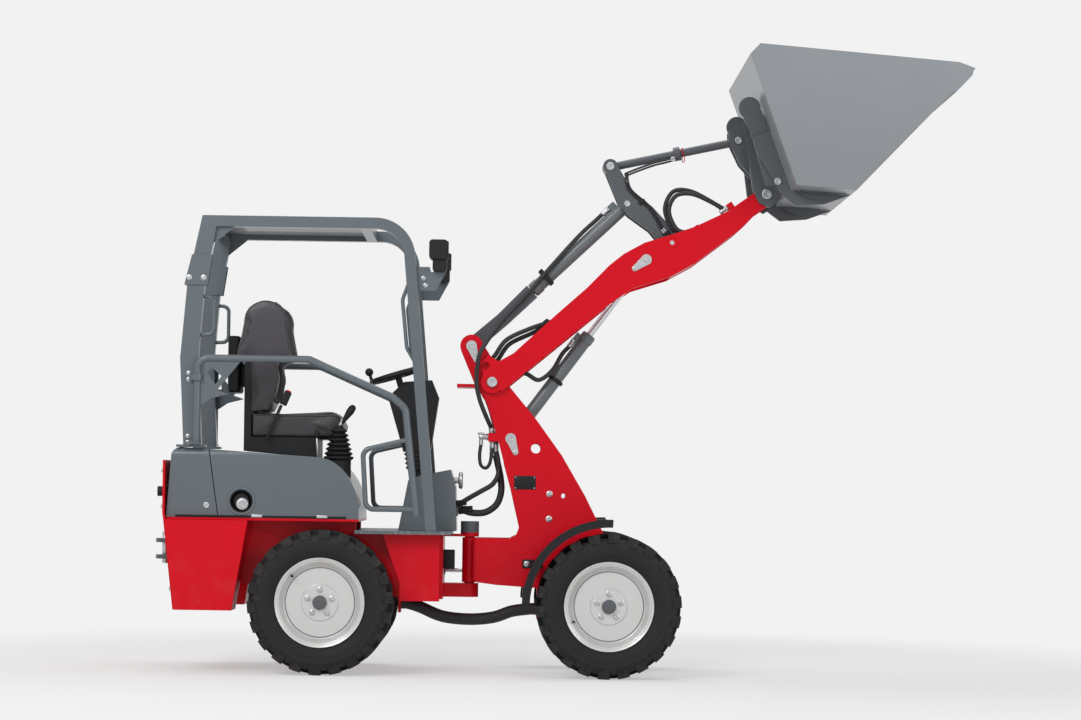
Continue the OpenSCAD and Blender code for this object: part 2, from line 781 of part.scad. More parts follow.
// Front frame with the loader tower
module front_frame() {
    side = [
        [28, beam_low_z], [28, beam_top_z], [195, beam_top_z], [228, 672], [240, 705], [234, 745],
        [194, 900], [133, 1129], [73, 1312], [9, 1416], [-56, 1570], [48, 1605], [181, 1396],
        [317, 1233], [443, 1061], [558, 867], [628, 729], [715, 560], [735, axle_pad_z],
        [297, 418], [134, 428]
    ];
    color(red)
        difference() {
            union() {
                both_sides()
                    slab(tower_gap / 2, tower_t)
                        difference() {
                            union() {
                                polygon(side);
                                translate(tilt_base) circle(55);
                                translate(arm_pivot) circle(50);
                            }
                            for (p = [arm_pivot, tilt_base, lift_base])
                                translate(p) circle(pin_r + fit);
                            translate([316, 1094]) circle(tie_hole_r);
                            translate([454, 865]) circle(12);
                        }
                translate([0, 0, beam_low_z - 4])
                    cylinder(h = beam_top_z - beam_low_z + 4, r = pivot_r + 11);
                box(20, 44, -tower_gap / 2 - 1, tower_gap / 2 + 1, beam_low_z + 10, beam_top_z - 10);
                box(44, 300, -tower_gap / 2 - 1, tower_gap / 2 + 1, beam_top_z - 25, beam_top_z - 10);
                box(44, 700, -tower_gap / 2 - 1, tower_gap / 2 + 1, beam_low_z + 10, beam_low_z + 25);
                slab(-tower_gap / 2 - 1, tower_gap + 2)
                    polygon([[240, 705], [194, 900], [160, 1020], [172, 1024], [208, 903], [254, 708]]);
                for (z = [steer_z - 42, steer_z + 30])
                    box(44, 90, tower_gap / 2, steer_y + 30, z, z + 12);
                box(drive_hose_x[1], drive_hose_x[1] + 14, -45, 45, 265, beam_low_z + 12);
                box(-72, 26, -tower_y + 2, tower_y - 2, 1387, 1403);
                box(bulkhead_x[0], bulkhead_x[1], -tower_y + 2, tower_y - 2, bulkhead_z - bulkhead_h,
                    bulkhead_z);
            }
            cylinder(h = 2000, r = pivot_r + fit);
        }
}
tie_hole_r = 24;
bulkhead_x = [84, 136];
bulkhead_z = 1165;
bulkhead_h = 40;
retainer_t = 5;
module drop(length = 70) {
    circle(26);
    polygon([[0, -25.5], [length, -13.5], [length, 13.5], [0, 25.5]]);
    translate([length, 0]) circle(14);
}
module retainer(p, a) {
    in_frame(p, a)
        slab(-tower_y - retainer_t, retainer_t)
            drop();
}
module tower_pins() {
    color(bright) {
        cross_bar(arm_pivot, pin_r, -arm_out_y - 14, arm_out_y + 14);
        cross_bar(tilt_base, pin_r, -tower_y - retainer_t, tower_y + retainer_t);
        cross_bar(lift_base, pin_r, -tower_y - retainer_t, tower_y + retainer_t);
        both_sides() {
            retainer(tilt_base, -70);
            retainer(lift_base, -70);
        }
    }
}
fender_r = 405;
fender_t = 8;
module front_fenders() {
    color(black)
        both_sides() {
            translate([front_axle_x, track / 2 - tyre_w / 2 - 5, wheel_z])
                rotate([-90, 0, 0])
                    rotate([0, 0, -180])
                        rotate_extrude(angle = 92)
                            translate([fender_r - fender_t, 0]) {
                                square([fender_t, tyre_w + 10]);
                                translate([-22, tyre_w + 2]) square([fender_t + 30, 8]);
                            }
            box(front_axle_x - fender_r + 30, front_axle_x - fender_r + 90, tower_y, track / 2, 520, 535);
        }
}

// Steering cylinder
steer_y = 150;
steer_z = 490;
steer_base_x = -420;
steer_eye_x = 60;
steer_pin_r = 14;
steer_r = 24;
steer_rod_r = 11;
module steer_barrel() {
    color(anthracite)
        difference() {
            translate([steer_base_x, steer_y, steer_z]) {
                cylinder(h = 48, r = 28, center = true);
                bar_x(steer_r, 20, 300);
            }
            translate([steer_base_x, steer_y, steer_z]) {
                cylinder(h = 60, r = steer_pin_r + fit, center = true);
                bar_x(steer_rod_r + fit, 40, 310);
            }
        }
}
module steer_rod() {
    color(bright)
        translate([steer_eye_x, steer_y, steer_z])
            difference() {
                union() {
                    cylinder(h = 48, r = 24, center = true);
                    bar_x(steer_rod_r, -310, -10);
                }
                cylinder(h = 60, r = steer_pin_r, center = true);
            }
}

// Loader arm
// Places ahead of the lever's pivot, as shares of the way to the bucket's pivot
function ahead(t) = lever_x + t * (arm_len - lever_x);
module loader_arm() {
    side = [
        [85, 65], [165, 57], [430, 93], [640, 118], [791, 147], [880, 153], [992, 141], [ahead(0.07), 95],
        [ahead(0.27), 67], [ahead(0.59), 40], [ahead(0.92), 40], [arm_len, 45], [arm_len, -45],
        [ahead(0.84), -45],
        [ahead(0.72), -58], [ahead(0.56), -69], [ahead(0.07), -80], [996, -65], [817, -9], [670, -10],
        [20, -64],
        [-45, 0], [-20, 48], [10, 110], [60, 118]
    ];
    color(red)
        in_frame(arm_pivot, arm_angle) {
            for (x = [loop_hose_x - 30, fitting_x])
                box(x, x + 30, -arm_y - 1, -arm_y + 52, 20, 70);
            both_sides() {
                slab(arm_y, arm_t)
                    difference() {
                        union() {
                            polygon(side);
                            circle(55);
                            translate([arm_len, 0]) circle(45);
                        }
                        circle(pin_r + fit);
                        translate([20, 82]) circle(eye_hole_r);
                        translate(lever_on_arm) circle(pin_r + fit);
                        translate([arm_len, 0]) circle(pin_r + fit);
                    }
                slab(-1, arm_y + 2)
                    polygon([[arm_hose_end, 40], [arm_hose_end + 30, 40], [arm_hose_end + 30, 96],
                        [arm_hose_end, 96]]);
                slab(-1, arm_y + 2)
                    polygon([[1010, -65], [ahead(0.07), -77], [ahead(0.56), -66], [ahead(0.56), -54],
                        [ahead(0.07), -65], [1010, -53]]);
            }
        }
}
eye_hole_r = 18;
arm_hose_end = 455;
loop_hose_x = arm_len - 354;
fitting_x = arm_len - 187;
module arm_pins() {
    color(bright)
        both_sides()
            in_frame(lift_eye, 218) {
                slab(arm_out_y, retainer_t)
                    drop();
                slab(arm_out_y, retainer_t + 4)
                    circle(12);
            }
}
module lever_pin() {
    color(bright)
        cross_bar(lever_pivot, pin_r, -arm_out_y - 2, arm_out_y + 2);
}
lever_in_y = 40;
lever_t = 16;
module bell_crank() {
    color(anthracite)
        in_frame(lever_pivot, lever_angle)
            difference() {
                union() {
                    both_sides()
                        slab(lever_in_y, lever_t)
                            union() {
                                polygon([[-50, -30], [60, -52], [200, -40], [330, -10], [lever_len, -34],
                                    [lever_len, 34], [300, 85], [240, 80], [120, 45], [-40, 40]]);
                                circle(52);
                                translate([lever_len, 0]) circle(36);
                            }
                    rotate([90, 0, 0]) cylinder(h = 2 * (arm_y - 1), r = 42, center = true);
                    slab(-lever_in_y - 1, 2 * lever_in_y + 2)
                        polygon([[30, -35], [120, -35], [120, 5], [30, 25]]);
                }
                rotate([90, 0, 0]) cylinder(h = 400, r = pin_r + fit, center = true);
                translate([lever_len, 0, 0])
                    rotate([90, 0, 0]) cylinder(h = 400, r = link_pin_r + fit, center = true);
            }
}
module link_pin() {
    color(bright)
        cross_bar(link_top, link_pin_r, -lever_in_y - lever_t - 6, lever_in_y + lever_t + 6);
}
module tilt_link() {
    l = span(link_top, link_end);
    color(anthracite)
        in_frame(link_top, heading(link_top, link_end))
            difference() {
                union() {
                    for (x = [0, l])
                        translate([x, 0, 0]) rotate([90, 0, 0])
                            cylinder(h = 2 * (lever_in_y - side_gap), r = link_pin_r + 16, center = true);
                    bar_x(link_r, 20, l - 20);
                    bar_x(link_r + 14, 320, 350);
                }
                for (x = [0, l])
                    translate([x, 0, 0]) rotate([90, 0, 0])
                        cylinder(h = 200, r = link_pin_r + fit, center = true);
            }
}

// Coupler and bucket
coupler_y = arm_out_y + side_gap;
coupler_t = 20;
// Cross bars of the coupler: place along and off the bucket's back, radius
coupler_hook = [438, 56];
coupler_bars = [[110, 32, 20], [195, 42, 25]];
bucket_back_low = heel + turned([-179, 217], bucket_angle);
bucket_back_top = heel + turned([109, 802], bucket_angle);
back_angle = heading(bucket_back_low, bucket_back_top);
module coupler_pin() {
    color(bright)
        cross_bar(bucket_pivot, pin_r, -coupler_y - coupler_t - 6, coupler_y + coupler_t + 6);
}
module quick_coupler() {
    color(anthracite)
        difference() {
            union() {
                in_frame(bucket_back_low, back_angle) {
                    both_sides() {
                        slab(coupler_y, coupler_t)
                            polygon([[-15, 45], [30, 9], [330, 9], [400, 30], [400, 85], [320, 95],
                                [80, 148],
                                [10, 140], [-30, 100]]);
                        slab(bracket_y - 50, 20) {
                            polygon([[40, 9], [420, 9], [475, 40], [400, 100], [330, 90], [60, 105]]);
                            translate(coupler_hook) circle(52);
                        }
                        slab(lever_in_y, lever_t)
                            polygon([[150, 15], [380, 25], [415, 100], [395, 150], [350, 165], [227, 153],
                                [150, 121]]);
                    }
                    for (p = coupler_bars)
                        translate([p[0], 0, p[1]]) rotate([90, 0, 0])
                            cylinder(h = 2 * (bracket_y - 29), r = p[2], center = true);
                    both_sides()
                        cross_bar([380, 57], 18, coupler_y + 1, bracket_y - 40);
                }
                both_sides()
                    cross_bar(bucket_pivot, pin_r + 27, coupler_y, coupler_y + coupler_t);
            }
            cross_bar(bucket_pivot, pin_r + fit, -500, 500);
            both_sides() cross_bar(link_end, link_pin_r, lever_in_y - 1, lever_in_y + lever_t + 1);
        }
}
function moved(p, q, t) = let (d = (q - p) / norm(q - p)) [p + t * [-d[1], d[0]], q + t * [-d[1], d[0]]];
function meet(a, b) = let (p = a[0], r = a[1] - a[0], q = b[0], s = b[1] - b[0],
    k = ((q[0] - p[0]) * s[1] - (q[1] - p[1]) * s[0]) / (r[0] * s[1] - r[1] * s[0])) p + k * r;
module bucket() {
    lip = [bucket_floor, 0];
    side_front = [bucket_floor - 31, 73];
    top_front = [177, 802];
    top = [109, 802];
    low = [-179, 217];
    fold = [0, 0];
    outer = [lip, side_front, top_front, top, low, fold];
    floor_in = moved(fold, lip, bucket_t);
    heel_in = moved(low, fold, bucket_t);
    back_in = moved(top, low, bucket_t);
    top_in = moved(top_front, top, bucket_t);
    inner = [meet(floor_in, heel_in), meet(heel_in, back_in), meet(back_in, top_in),
        top_in[0] + [20, 0], top_in[0] + [300, 0], floor_in[1] + [100, 0]];
    half = bucket_w / 2;
    color(silver)
        in_frame(heel, bucket_angle) {
            difference() {
                slab(-half, bucket_w) polygon(outer);
                slab(-half + bucket_t, bucket_w - 2 * bucket_t) polygon(inner);
            }
            both_sides()
                slab(bracket_y - 29, 20)
                    polygon([[-179, 217], [-46.5, 486], [-132, 528], [-176, 438], [-230, 230],
                        [-220, 150], [-120, 60],
                        [0, 0]]);
            slab(-half, bucket_w)
                polygon([[bucket_floor - 150, 1], [bucket_floor - 12, 1], [bucket_floor - 34, -12],
                    [bucket_floor - 150, -12]]);
        }
    color(anthracite)
        in_frame(bucket_back_low, heading(bucket_back_low, heel))
            both_sides() {
                slab(bracket_y - 80, 90)
                    difference() {
                        translate([skid_x, skid_r - skid_drop]) circle(skid_r);
                        translate([skid_x - skid_r - 1, 2]) square(2 * skid_r + 2);
                    }
                slab(bracket_y + 40, 16)
                    polygon([[30, 1], [250, 1], [250, -6], [40, -10]]);
            }
}
// Skids under the bucket's heel: place along it, radius, depth
skid_x = 120;
skid_r = 150;
skid_drop = 38;

// Cylinders
lift_reach = 640;
lift_port_x = lift_reach - 62;
module lift_barrel() {
    color(anthracite)
        in_frame(lift_base, heading(lift_base, lift_eye))
            difference() {
                union() {
                    rotate([90, 0, 0]) cylinder(h = tower_gap - 2 * side_gap, r = 42, center = true);
                    bar_x(lift_r, 20, lift_reach);
                    bar_x(lift_r + 4, lift_reach - 45, lift_reach - 5);
                    box(lift_port_x, lift_port_x + 36, -14, 14, lift_r - 8, lift_r + 24);
                }
                rotate([90, 0, 0]) cylinder(h = 400, r = pin_r + fit, center = true);
                bar_x(lift_rod_r + fit, 60, lift_reach + 1);
            }
}
module lift_rod() {
    color(bright)
        in_frame(lift_eye, heading(lift_base, lift_eye))
            difference() {
                union() {
                    rotate([90, 0, 0]) cylinder(h = 2 * (lever_in_y - side_gap), r = 40, center = true);
                    bar_x(lift_rod_r, -560, -20);
                }
                rotate([90, 0, 0]) cylinder(h = 400, r = pin_r, center = true);
            }
}
fork_len = 400;
tilt_port = 76;
tilt_rod_r = 19;
module tilt_rod() {
    color(anthracite)
        in_frame(tilt_base, heading(tilt_base, tilt_eye))
            difference() {
                union() {
                    rotate([90, 0, 0]) cylinder(h = tower_gap - 2 * side_gap, r = 40, center = true);
                    slab(-30, 60)
                        polygon([[0, -30], [200, -38], [fork_len, -38], [fork_len, 38], [200, 30],
                            [0, 40]]);
                    bar_x(tilt_rod_r, fork_len - 10, 960);
                }
                rotate([90, 0, 0]) cylinder(h = 400, r = pin_r + fit, center = true);
            }
}
module tilt_barrel() {
    l = span(tilt_base, tilt_eye);
    color(anthracite)
        in_frame(tilt_base, heading(tilt_base, tilt_eye))
            difference() {
                union() {
                    bar_x(tilt_r, fork_len + 5, l - 25);
                    bar_x(tilt_r + 4, fork_len + 10, fork_len + 50);
                    box(l - tilt_port, l - tilt_port + 36, -14, 14, tilt_r - 8, tilt_r + 24);
                    translate([l, 0, 0])
                        rotate([90, 0, 0]) cylinder(h = 2 * (lever_in_y - side_gap), r = 36, center = true);
                }
                bar_x(tilt_rod_r + fit, fork_len, l - 50);
                translate([l, 0, 0]) rotate([90, 0, 0]) cylinder(h = 200, r = link_pin_r, center = true);
            }
}

// Hoses over the pivot, which leave their glands square to the face
pivot_hose_y = 30;
port_x = (bulkhead_x[0] + bulkhead_x[1]) / 2;
port_z = bulkhead_z - bulkhead_h;
pivot_hose_points = [[pivot_hose_x, 790], [pivot_hose_x + 20, 790], [10, 776], [75, 780], [128, 818],
    [150, 880],
    [146, 950], [126, 1040], [port_x, port_z - 25], [port_x, port_z]];
drive_hose_points = [[drive_hose_x[0], 0, 330], [drive_hose_x[0] + 30, 0, 330], [-240, 0, 312],
    [-130, 0, 268],
    [0, 0, 255], [120, 0, 266], [210, 0, 297], [drive_hose_x[1] - 30, 0, 310], [drive_hose_x[1], 0, 310]];
module pivot_hoses() {
    color(black)
        for (y = [-pivot_hose_y, pivot_hose_y])
            hose(routed([for (p = pivot_hose_points) [p[0], y, p[1]]], 3), 17);
}
module drive_hose() {
    color(black)
        hose(routed(drive_hose_points, 4), 30);
}

// Hoses of the boom: from the bulkhead on the tower to the arm and the cylinders' ports
boom_hose_r = 11;
port_gap = 0.3;
tilt_axis = heading(tilt_base, tilt_eye);
lift_axis = heading(lift_base, lift_eye);
function on_tilt(p) = tilt_base + turned(p, tilt_axis);
function on_lift(p) = lift_base + turned(p, lift_axis);
module boom_hose(points) {
    color(black)
        hose(routed(points, 4), boom_hose_r);
}
function in_space(p, y) = [p[0], y, p[1]];
module arm_hoses() {
    for (k = [0, 1]) {
        y = -50 - 26 * k;
        rise = 24 * k;
        boom_hose([
            [118, y, bulkhead_z], [118, y, bulkhead_z + 25], [92, y, 1280], [54 - 4 * k, y, 1400],
            [66 - 8 * k, y, 1490], in_space(on_arm([82, 76 + rise]), y),
            in_space(on_arm([175, 108 + rise]), y),
            in_space(on_arm([295, 90 + rise]), y), in_space(on_arm([400, 72 + rise / 2]), y),
            in_space(on_arm([arm_hose_end - 25, 64 + rise / 4]), y),
            in_space(on_arm([arm_hose_end - port_gap, 64 + rise / 4]), y)
        ]);
    }
}
module tilt_hose() {
    side_y = -tower_y - retainer_t - 20;
    port = span(tilt_base, tilt_eye) - tilt_port;
    boom_hose([
        [98, -88, bulkhead_z], [98, -88, bulkhead_z + 25], [72, side_y, 1245], [40, side_y, 1325],
        [24, side_y, 1400],
        [26, side_y, 1480], [46, side_y, 1568], in_space(on_tilt([185, -12]), -76),
        in_space(on_tilt([355, 2]), -52),
        in_space(on_tilt([500, 20]), -50), in_space(on_tilt([746, 44]), -24),
        in_space(on_tilt([port - 90, 46]), 0),
        in_space(on_tilt([port - 28, 46]), 0), in_space(on_tilt([port - port_gap, 46]), 0)
    ]);
}
module lift_hose() {
    boom_hose([
        [124, -20, bulkhead_z], [124, -20, bulkhead_z + 25], [140, -44, 1290], [166, -60, 1400],
        [205, -62, 1452],
        [262, -62, 1458], [325, -60, 1428], in_space(on_lift([lift_port_x - 188, 40]), -52),
        in_space(on_lift([lift_port_x - 98, 50]), -30),
        in_space(on_lift([lift_port_x - 48, 46]), 0), in_space(on_lift([lift_port_x - 25, 46]), 0),
        in_space(on_lift([lift_port_x - port_gap, 46]), 0)
    ]);
}
module loop_hoses() {
    for (k = [0, 1]) {
        y = -79 - 24 * k;
        r = 1 - 0.16 * k;
        boom_hose([
            in_space(on_arm([loop_hose_x - 30, 56]), y), in_space(on_arm([loop_hose_x - 50, 56]), y),
            in_space(on_arm([loop_hose_x - 33 - 75 * r, 60 + 55 * r]), y),
            in_space(on_arm([loop_hose_x - 33 - 55 * r, 100 + 120 * r]), y),
            in_space(on_arm([loop_hose_x - 18 + 10 * r, 110 + 160 * r]), y),
            in_space(on_arm([loop_hose_x + 62, 100 + 128 * r]), y),
            in_space(on_arm([loop_hose_x + 117, 70 + 62 * r]), y),
            in_space(on_arm([fitting_x - 18, 56]), y),
            in_space(on_arm([fitting_x, 56]), y)
        ]);
    }
}

// Everything is drawn about the middle of the machine's length
module placed() {
    translate([-origin_x, 0, 0]) children();
}

placed() rear_frame();
placed() deck();
placed() ballast();
placed() tail_plate();
placed() tow_jaw();
placed() engine_block();
placed() rear_hood();
placed() seat_hood();
placed() exhaust();
placed() fuel_filler();
placed() axle(-rear_axle_x);  // rear_axle
placed() floor_plate();
placed() console();
placed() steering_column();
placed() steering_wheel();
placed() control_lever();
placed() seat_base();
placed() seat_cushion();
placed() seat_back();
placed() rear_posts();
placed() roof_frame();
placed() roof_panel();
placed() work_lamps();
placed() gate_right();
placed() gate_left();
placed() front_frame();
placed() tower_pins();
placed() axle(front_axle_x);  // front_axle
placed() front_fenders();
placed() steer_barrel();
placed() steer_rod();
placed() loader_arm();
placed() arm_pins();
placed() lever_pin();
placed() bell_crank();
placed() link_pin();
placed() tilt_link();
placed() coupler_pin();
placed() quick_coupler();
placed() bucket();
placed() lift_barrel();
placed() lift_rod();
placed() tilt_rod();
placed() tilt_barrel();
placed() pivot_hoses();
placed() drive_hose();
placed() arm_hoses();
placed() tilt_hose();
placed() lift_hose();
placed() loop_hoses();
placed() tyre(front_axle_x, -1);  // tyre_front_right
placed() rim(front_axle_x, -1);  // rim_front_right
placed() tyre(front_axle_x, 1);  // tyre_front_left
placed() rim(front_axle_x, 1);  // rim_front_left
placed() tyre(-rear_axle_x, -1);  // tyre_rear_right
placed() rim(-rear_axle_x, -1);  // rim_rear_right
placed() tyre(-rear_axle_x, 1);  // tyre_rear_left
placed() rim(-rear_axle_x, 1);  // rim_rear_left
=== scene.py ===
# %% [markdown]
# # Dressing a compact articulated loader
# The solids of this machine come from its frame: chassis halves, tower, arm, bucket, wheels. This lesson
# gives them paint, rubber, steel and vinyl, adds the small pieces that a fitter would bolt on, and lights the
# lot in a plain studio. Lengths are in metres, in the frame's own axes: X forward, Y to the left, Z up.

# %% Set up
import json
import math

import bpy
from mathutils import Matrix, Vector


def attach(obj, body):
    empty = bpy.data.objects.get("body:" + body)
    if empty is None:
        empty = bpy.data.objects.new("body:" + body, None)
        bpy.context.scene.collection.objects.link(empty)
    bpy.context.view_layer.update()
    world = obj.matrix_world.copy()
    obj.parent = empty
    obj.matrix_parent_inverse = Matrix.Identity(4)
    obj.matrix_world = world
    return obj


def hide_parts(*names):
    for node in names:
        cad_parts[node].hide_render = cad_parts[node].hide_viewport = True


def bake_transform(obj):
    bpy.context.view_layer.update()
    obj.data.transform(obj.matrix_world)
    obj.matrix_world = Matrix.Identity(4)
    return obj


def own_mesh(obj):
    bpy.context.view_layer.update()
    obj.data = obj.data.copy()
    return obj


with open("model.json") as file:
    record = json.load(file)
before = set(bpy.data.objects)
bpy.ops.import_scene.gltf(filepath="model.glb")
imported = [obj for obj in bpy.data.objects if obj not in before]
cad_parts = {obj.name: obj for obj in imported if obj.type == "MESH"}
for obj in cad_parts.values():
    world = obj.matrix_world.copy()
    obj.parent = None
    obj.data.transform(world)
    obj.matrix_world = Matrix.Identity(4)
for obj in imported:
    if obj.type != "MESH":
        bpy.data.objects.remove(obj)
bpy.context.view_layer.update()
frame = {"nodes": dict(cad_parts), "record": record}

# %% [markdown]
# The photograph was taken from far away, almost square to the machine's right side, so the loader shows
# hardly any perspective. A long lens does the same here. The machine stands a little low and left of the lens
# axis in that picture; a camera that looks straight across the machine, with its film shifted, repeats this
# without tilting the uprights. A roll of less than a degree matches the slight slope of the ground line.

# %% Camera
IMAGE_SIZE = (1081, 720)
AXIS_PIXEL = (500, 485)
FOCAL_PIXELS = 2797
SENSOR_WIDTH = 36
CAMERA_PLACE = Vector((-0.258, -13.7, 0.914))
CAMERA_ROLL = math.radians(0.85)

lens = bpy.data.cameras.new("photo_lens")
lens.sensor_width = SENSOR_WIDTH
lens.lens = FOCAL_PIXELS * SENSOR_WIDTH / IMAGE_SIZE[0]
lens.shift_x = (IMAGE_SIZE[0] / 2 - AXIS_PIXEL[0]) / IMAGE_SIZE[0]
lens.shift_y = (AXIS_PIXEL[1] - IMAGE_SIZE[1] / 2) / IMAGE_SIZE[0]
lens.clip_end = 60
camera = bpy.data.objects.new("photo_camera", lens)
camera.location = CAMERA_PLACE
camera.rotation_euler = (math.radians(90), -CAMERA_ROLL, 0)
bpy.context.scene.collection.objects.link(camera)
bpy.context.scene.camera = camera
print("lens", round(lens.lens, 1), "mm, shift", round(lens.shift_x, 3), round(lens.shift_y, 3))

# %% [markdown]
# Every finish below is a small net of shader nodes. Wiring nodes by hand takes three lines each, so one class
# wraps a socket: sums and products of wires add Math nodes, and its node method makes any other kind. Colours
# are written as they read on a screen and turned to the linear values that the shader wants.

# %% Shader wiring
class Wire:
    """A socket in a material's tree; arithmetic on it adds Math nodes."""

    def __init__(self, tree, socket=None):
        self.tree = tree
        self.socket = socket

    def node(self, kind, settings=(), inputs=(), output=0):
        made = self.tree.nodes.new(kind)
        for name, value in dict(settings).items():
            setattr(made, name, value)
        for name, value in dict(inputs).items():
            self.feed(made.inputs[name], value)
        return Wire(self.tree, made.outputs[output])

    def feed(self, socket, value):
        if isinstance(value, Wire):
            self.tree.links.new(value.socket, socket)
        else:
            socket.default_value = value

    def maths(self, operation, *values):
        return self.node("ShaderNodeMath", {"operation": operation}, enumerate(values))

    def __add__(self, other):
        return self.maths("ADD", self, other)

    def __sub__(self, other):
        return self.maths("SUBTRACT", self, other)

    def __rsub__(self, other):
        return self.maths("SUBTRACT", other, self)

    def __mul__(self, other):
        return self.maths("MULTIPLY", self, other)

    __radd__ = __add__
    __rmul__ = __mul__

    def ramp(self, low, high, to_low=0.0, to_high=1.0):
        """The wire's span from low to high, eased to another span."""
        settings = {"interpolation_type": "SMOOTHSTEP"}
        values = {0: self, 1: low, 2: high, 3: to_low, 4: to_high}
        return self.node("ShaderNodeMapRange", settings, values)

    def noise(self, scale, detail=2.0):
        return self.node("ShaderNodeTexNoise", (), {"Vector": self, "Scale": scale, "Detail": detail})

    def axis(self, name):
        return self.node("ShaderNodeSeparateXYZ", (), {0: self}, name)

    def blend(self, first, second):
        """Two colours mixed by this wire."""
        return self.node("ShaderNodeMix", {"data_type": "RGBA"}, {0: self, 6: first, 7: second}, 2)


def screen(red, green, blue):
    """A colour as it reads on a screen, in the shader's linear values."""
    levels = [((c / 255 + 0.055) / 1.055) ** 2.4 if c > 10 else c / 3295 for c in (red, green, blue)]
    return (*levels, 1.0)


def shade(colour, share):
    return tuple(c * share for c in colour[:3]) + (1.0,)


def new_finish(name, roughness, metallic=0.0, coat=0.0):
    """A material, its shader, and a wire with the place on the piece."""
    material = bpy.data.materials.new(name)
    material.use_nodes = True
    shader = material.node_tree.nodes["Principled BSDF"]
    shader.inputs["Roughness"].default_value = roughness
    shader.inputs["Metallic"].default_value = metallic
    shader.inputs["Coat Weight"].default_value = coat
    place = Wire(material.node_tree).node("ShaderNodeTexCoord", (), (), "Object")
    return material, shader, place


def relief(place, height, strength, distance, radius=0.0):
    """A bump's normal, over edges that look rounded by radius where one is given."""
    inputs = {"Height": height, "Strength": strength, "Distance": distance}
    if radius:
        inputs["Normal"] = place.node("ShaderNodeBevel", {"samples": 4}, {"Radius": radius})
    return place.node("ShaderNodeBump", (), inputs)


def paint(shader, tint, roughness, normal):
    """Feed the three sockets that nearly every finish varies."""
    for name, wire in (("Base Color", tint), ("Roughness", roughness), ("Normal", normal)):
        wire.feed(shader.inputs[name], wire)


print("shader wiring ready")

# %% [markdown]
# A product shot stands on one sheet of paper that runs from the floor up the wall in a wide bend, so that no
# horizon shows. It could be two planes, but their meeting line would draw a dark edge. One plane with its far
# edge pulled up and the fold bevelled has no such line. Paper that far from the lamps would turn grey, so
# where the camera, metal or glass looks straight at it, it glows. Near the machine it does so only in part,
# which keeps the shadow.

# %% Studio sheet
PAPER = screen(243, 243, 243)
BACKGROUND = screen(242, 242, 242)
FLOOR_HALF = 24
WALL_HEIGHT = 16
BEND_RADIUS = 4
SHADOW_REACH = (2.4, 4.6)
NEAR_GLOW = 0.46


def seen_directly(wire):
    """One where the camera, metal or glass looks at a surface, zero where light is gathered from it."""
    names = ("Is Camera Ray", "Is Glossy Ray", "Is Transmission Ray")
    camera_ray, glossy_ray, glass_ray = [wire.node("ShaderNodeLightPath", (), (), name) for name in names]
    return wire.maths("MAXIMUM", wire.maths("MAXIMUM", camera_ray, glossy_ray), glass_ray)


def studio_paper():
    material, shader, place = new_finish("studio_paper", 0.9)
    shader.inputs["Base Color"].default_value = PAPER
    glow = place.node("ShaderNodeEmission", (), {"Color": BACKGROUND})
    away = place.node("ShaderNodeVectorMath", {"operation": "LENGTH"}, {0: place}, "Value")
    share = seen_directly(place) * away.ramp(*SHADOW_REACH, NEAR_GLOW, 1.0)
    lit = Wire(place.tree, shader.outputs[0])
    mixed = place.node("ShaderNodeMixShader", (), {0: share, 1: lit, 2: glow})
    place.feed(place.tree.nodes["Material Output"].inputs["Surface"], mixed)
    return material


def edit(kind="FACE", action="SELECT"):
    """Enter edit mode with all faces or edges selected, or none."""
    bpy.ops.object.mode_set(mode="EDIT")
    bpy.ops.mesh.select_mode(type=kind)
    bpy.ops.mesh.select_all(action=action)


def leave_edit():
    bpy.ops.object.mode_set(mode="OBJECT")


def start_fresh():
    """Leave edit mode and deselect everything, since operators act on all that is selected."""
    if bpy.context.object and bpy.context.object.mode != "OBJECT":
        leave_edit()
    bpy.ops.object.select_all(action="DESELECT")


def pick(obj):
    start_fresh()
    obj.select_set(True)
    bpy.context.view_layer.objects.active = obj


def select_edges(obj, test):
    """Select the edges of a mesh in edit mode whose middle passes a test."""
    pick(obj)
    edit("EDGE", "DESELECT")
    leave_edit()
    for edge in obj.data.edges:
        a, b = (obj.data.vertices[i].co for i in edge.vertices)
        edge.select = test((a + b) / 2)
    bpy.ops.object.mode_set(mode="EDIT")


def select_faces(obj, test):
    """Select the faces of a mesh in edit mode that pass a test on centre and normal."""
    pick(obj)
    edit("FACE", "DESELECT")
    leave_edit()
    for face in obj.data.polygons:
        face.select = test(face.center, face.normal)
    bpy.ops.object.mode_set(mode="EDIT")


def studio_sheet():
    start_fresh()
    bpy.ops.mesh.primitive_plane_add(size=2 * FLOOR_HALF, location=(0, 0, 0))
    sheet = bpy.context.object
    sheet.name = "studio_sheet"
    select_edges(sheet, lambda mid: mid.y > FLOOR_HALF - 0.1)
    bpy.ops.mesh.extrude_region_move(TRANSFORM_OT_translate={"value": (0, 0, WALL_HEIGHT)})
    select_edges(sheet, lambda mid: mid.y > FLOOR_HALF - 0.1 and mid.z < 0.1)
    bpy.ops.mesh.bevel(offset=BEND_RADIUS, segments=24, affect="EDGES")
    leave_edit()
    bpy.ops.object.shade_smooth()
    sheet.data.materials.append(studio_paper())
    return sheet


sheet = studio_sheet()
print("studio sheet has", len(sheet.data.polygons), "faces")

# %% [markdown]
# Soft light: a pale world all round, a large soft box in front on the left, a wider and weaker one from the
# right, and one overhead. They are only as strong as lets a paint come out about as bright as it is written.
# The world looks as pale as the paper where it is seen directly, but lights the machine with less.

# %% Lights
WORLD_STRENGTH = 0.40


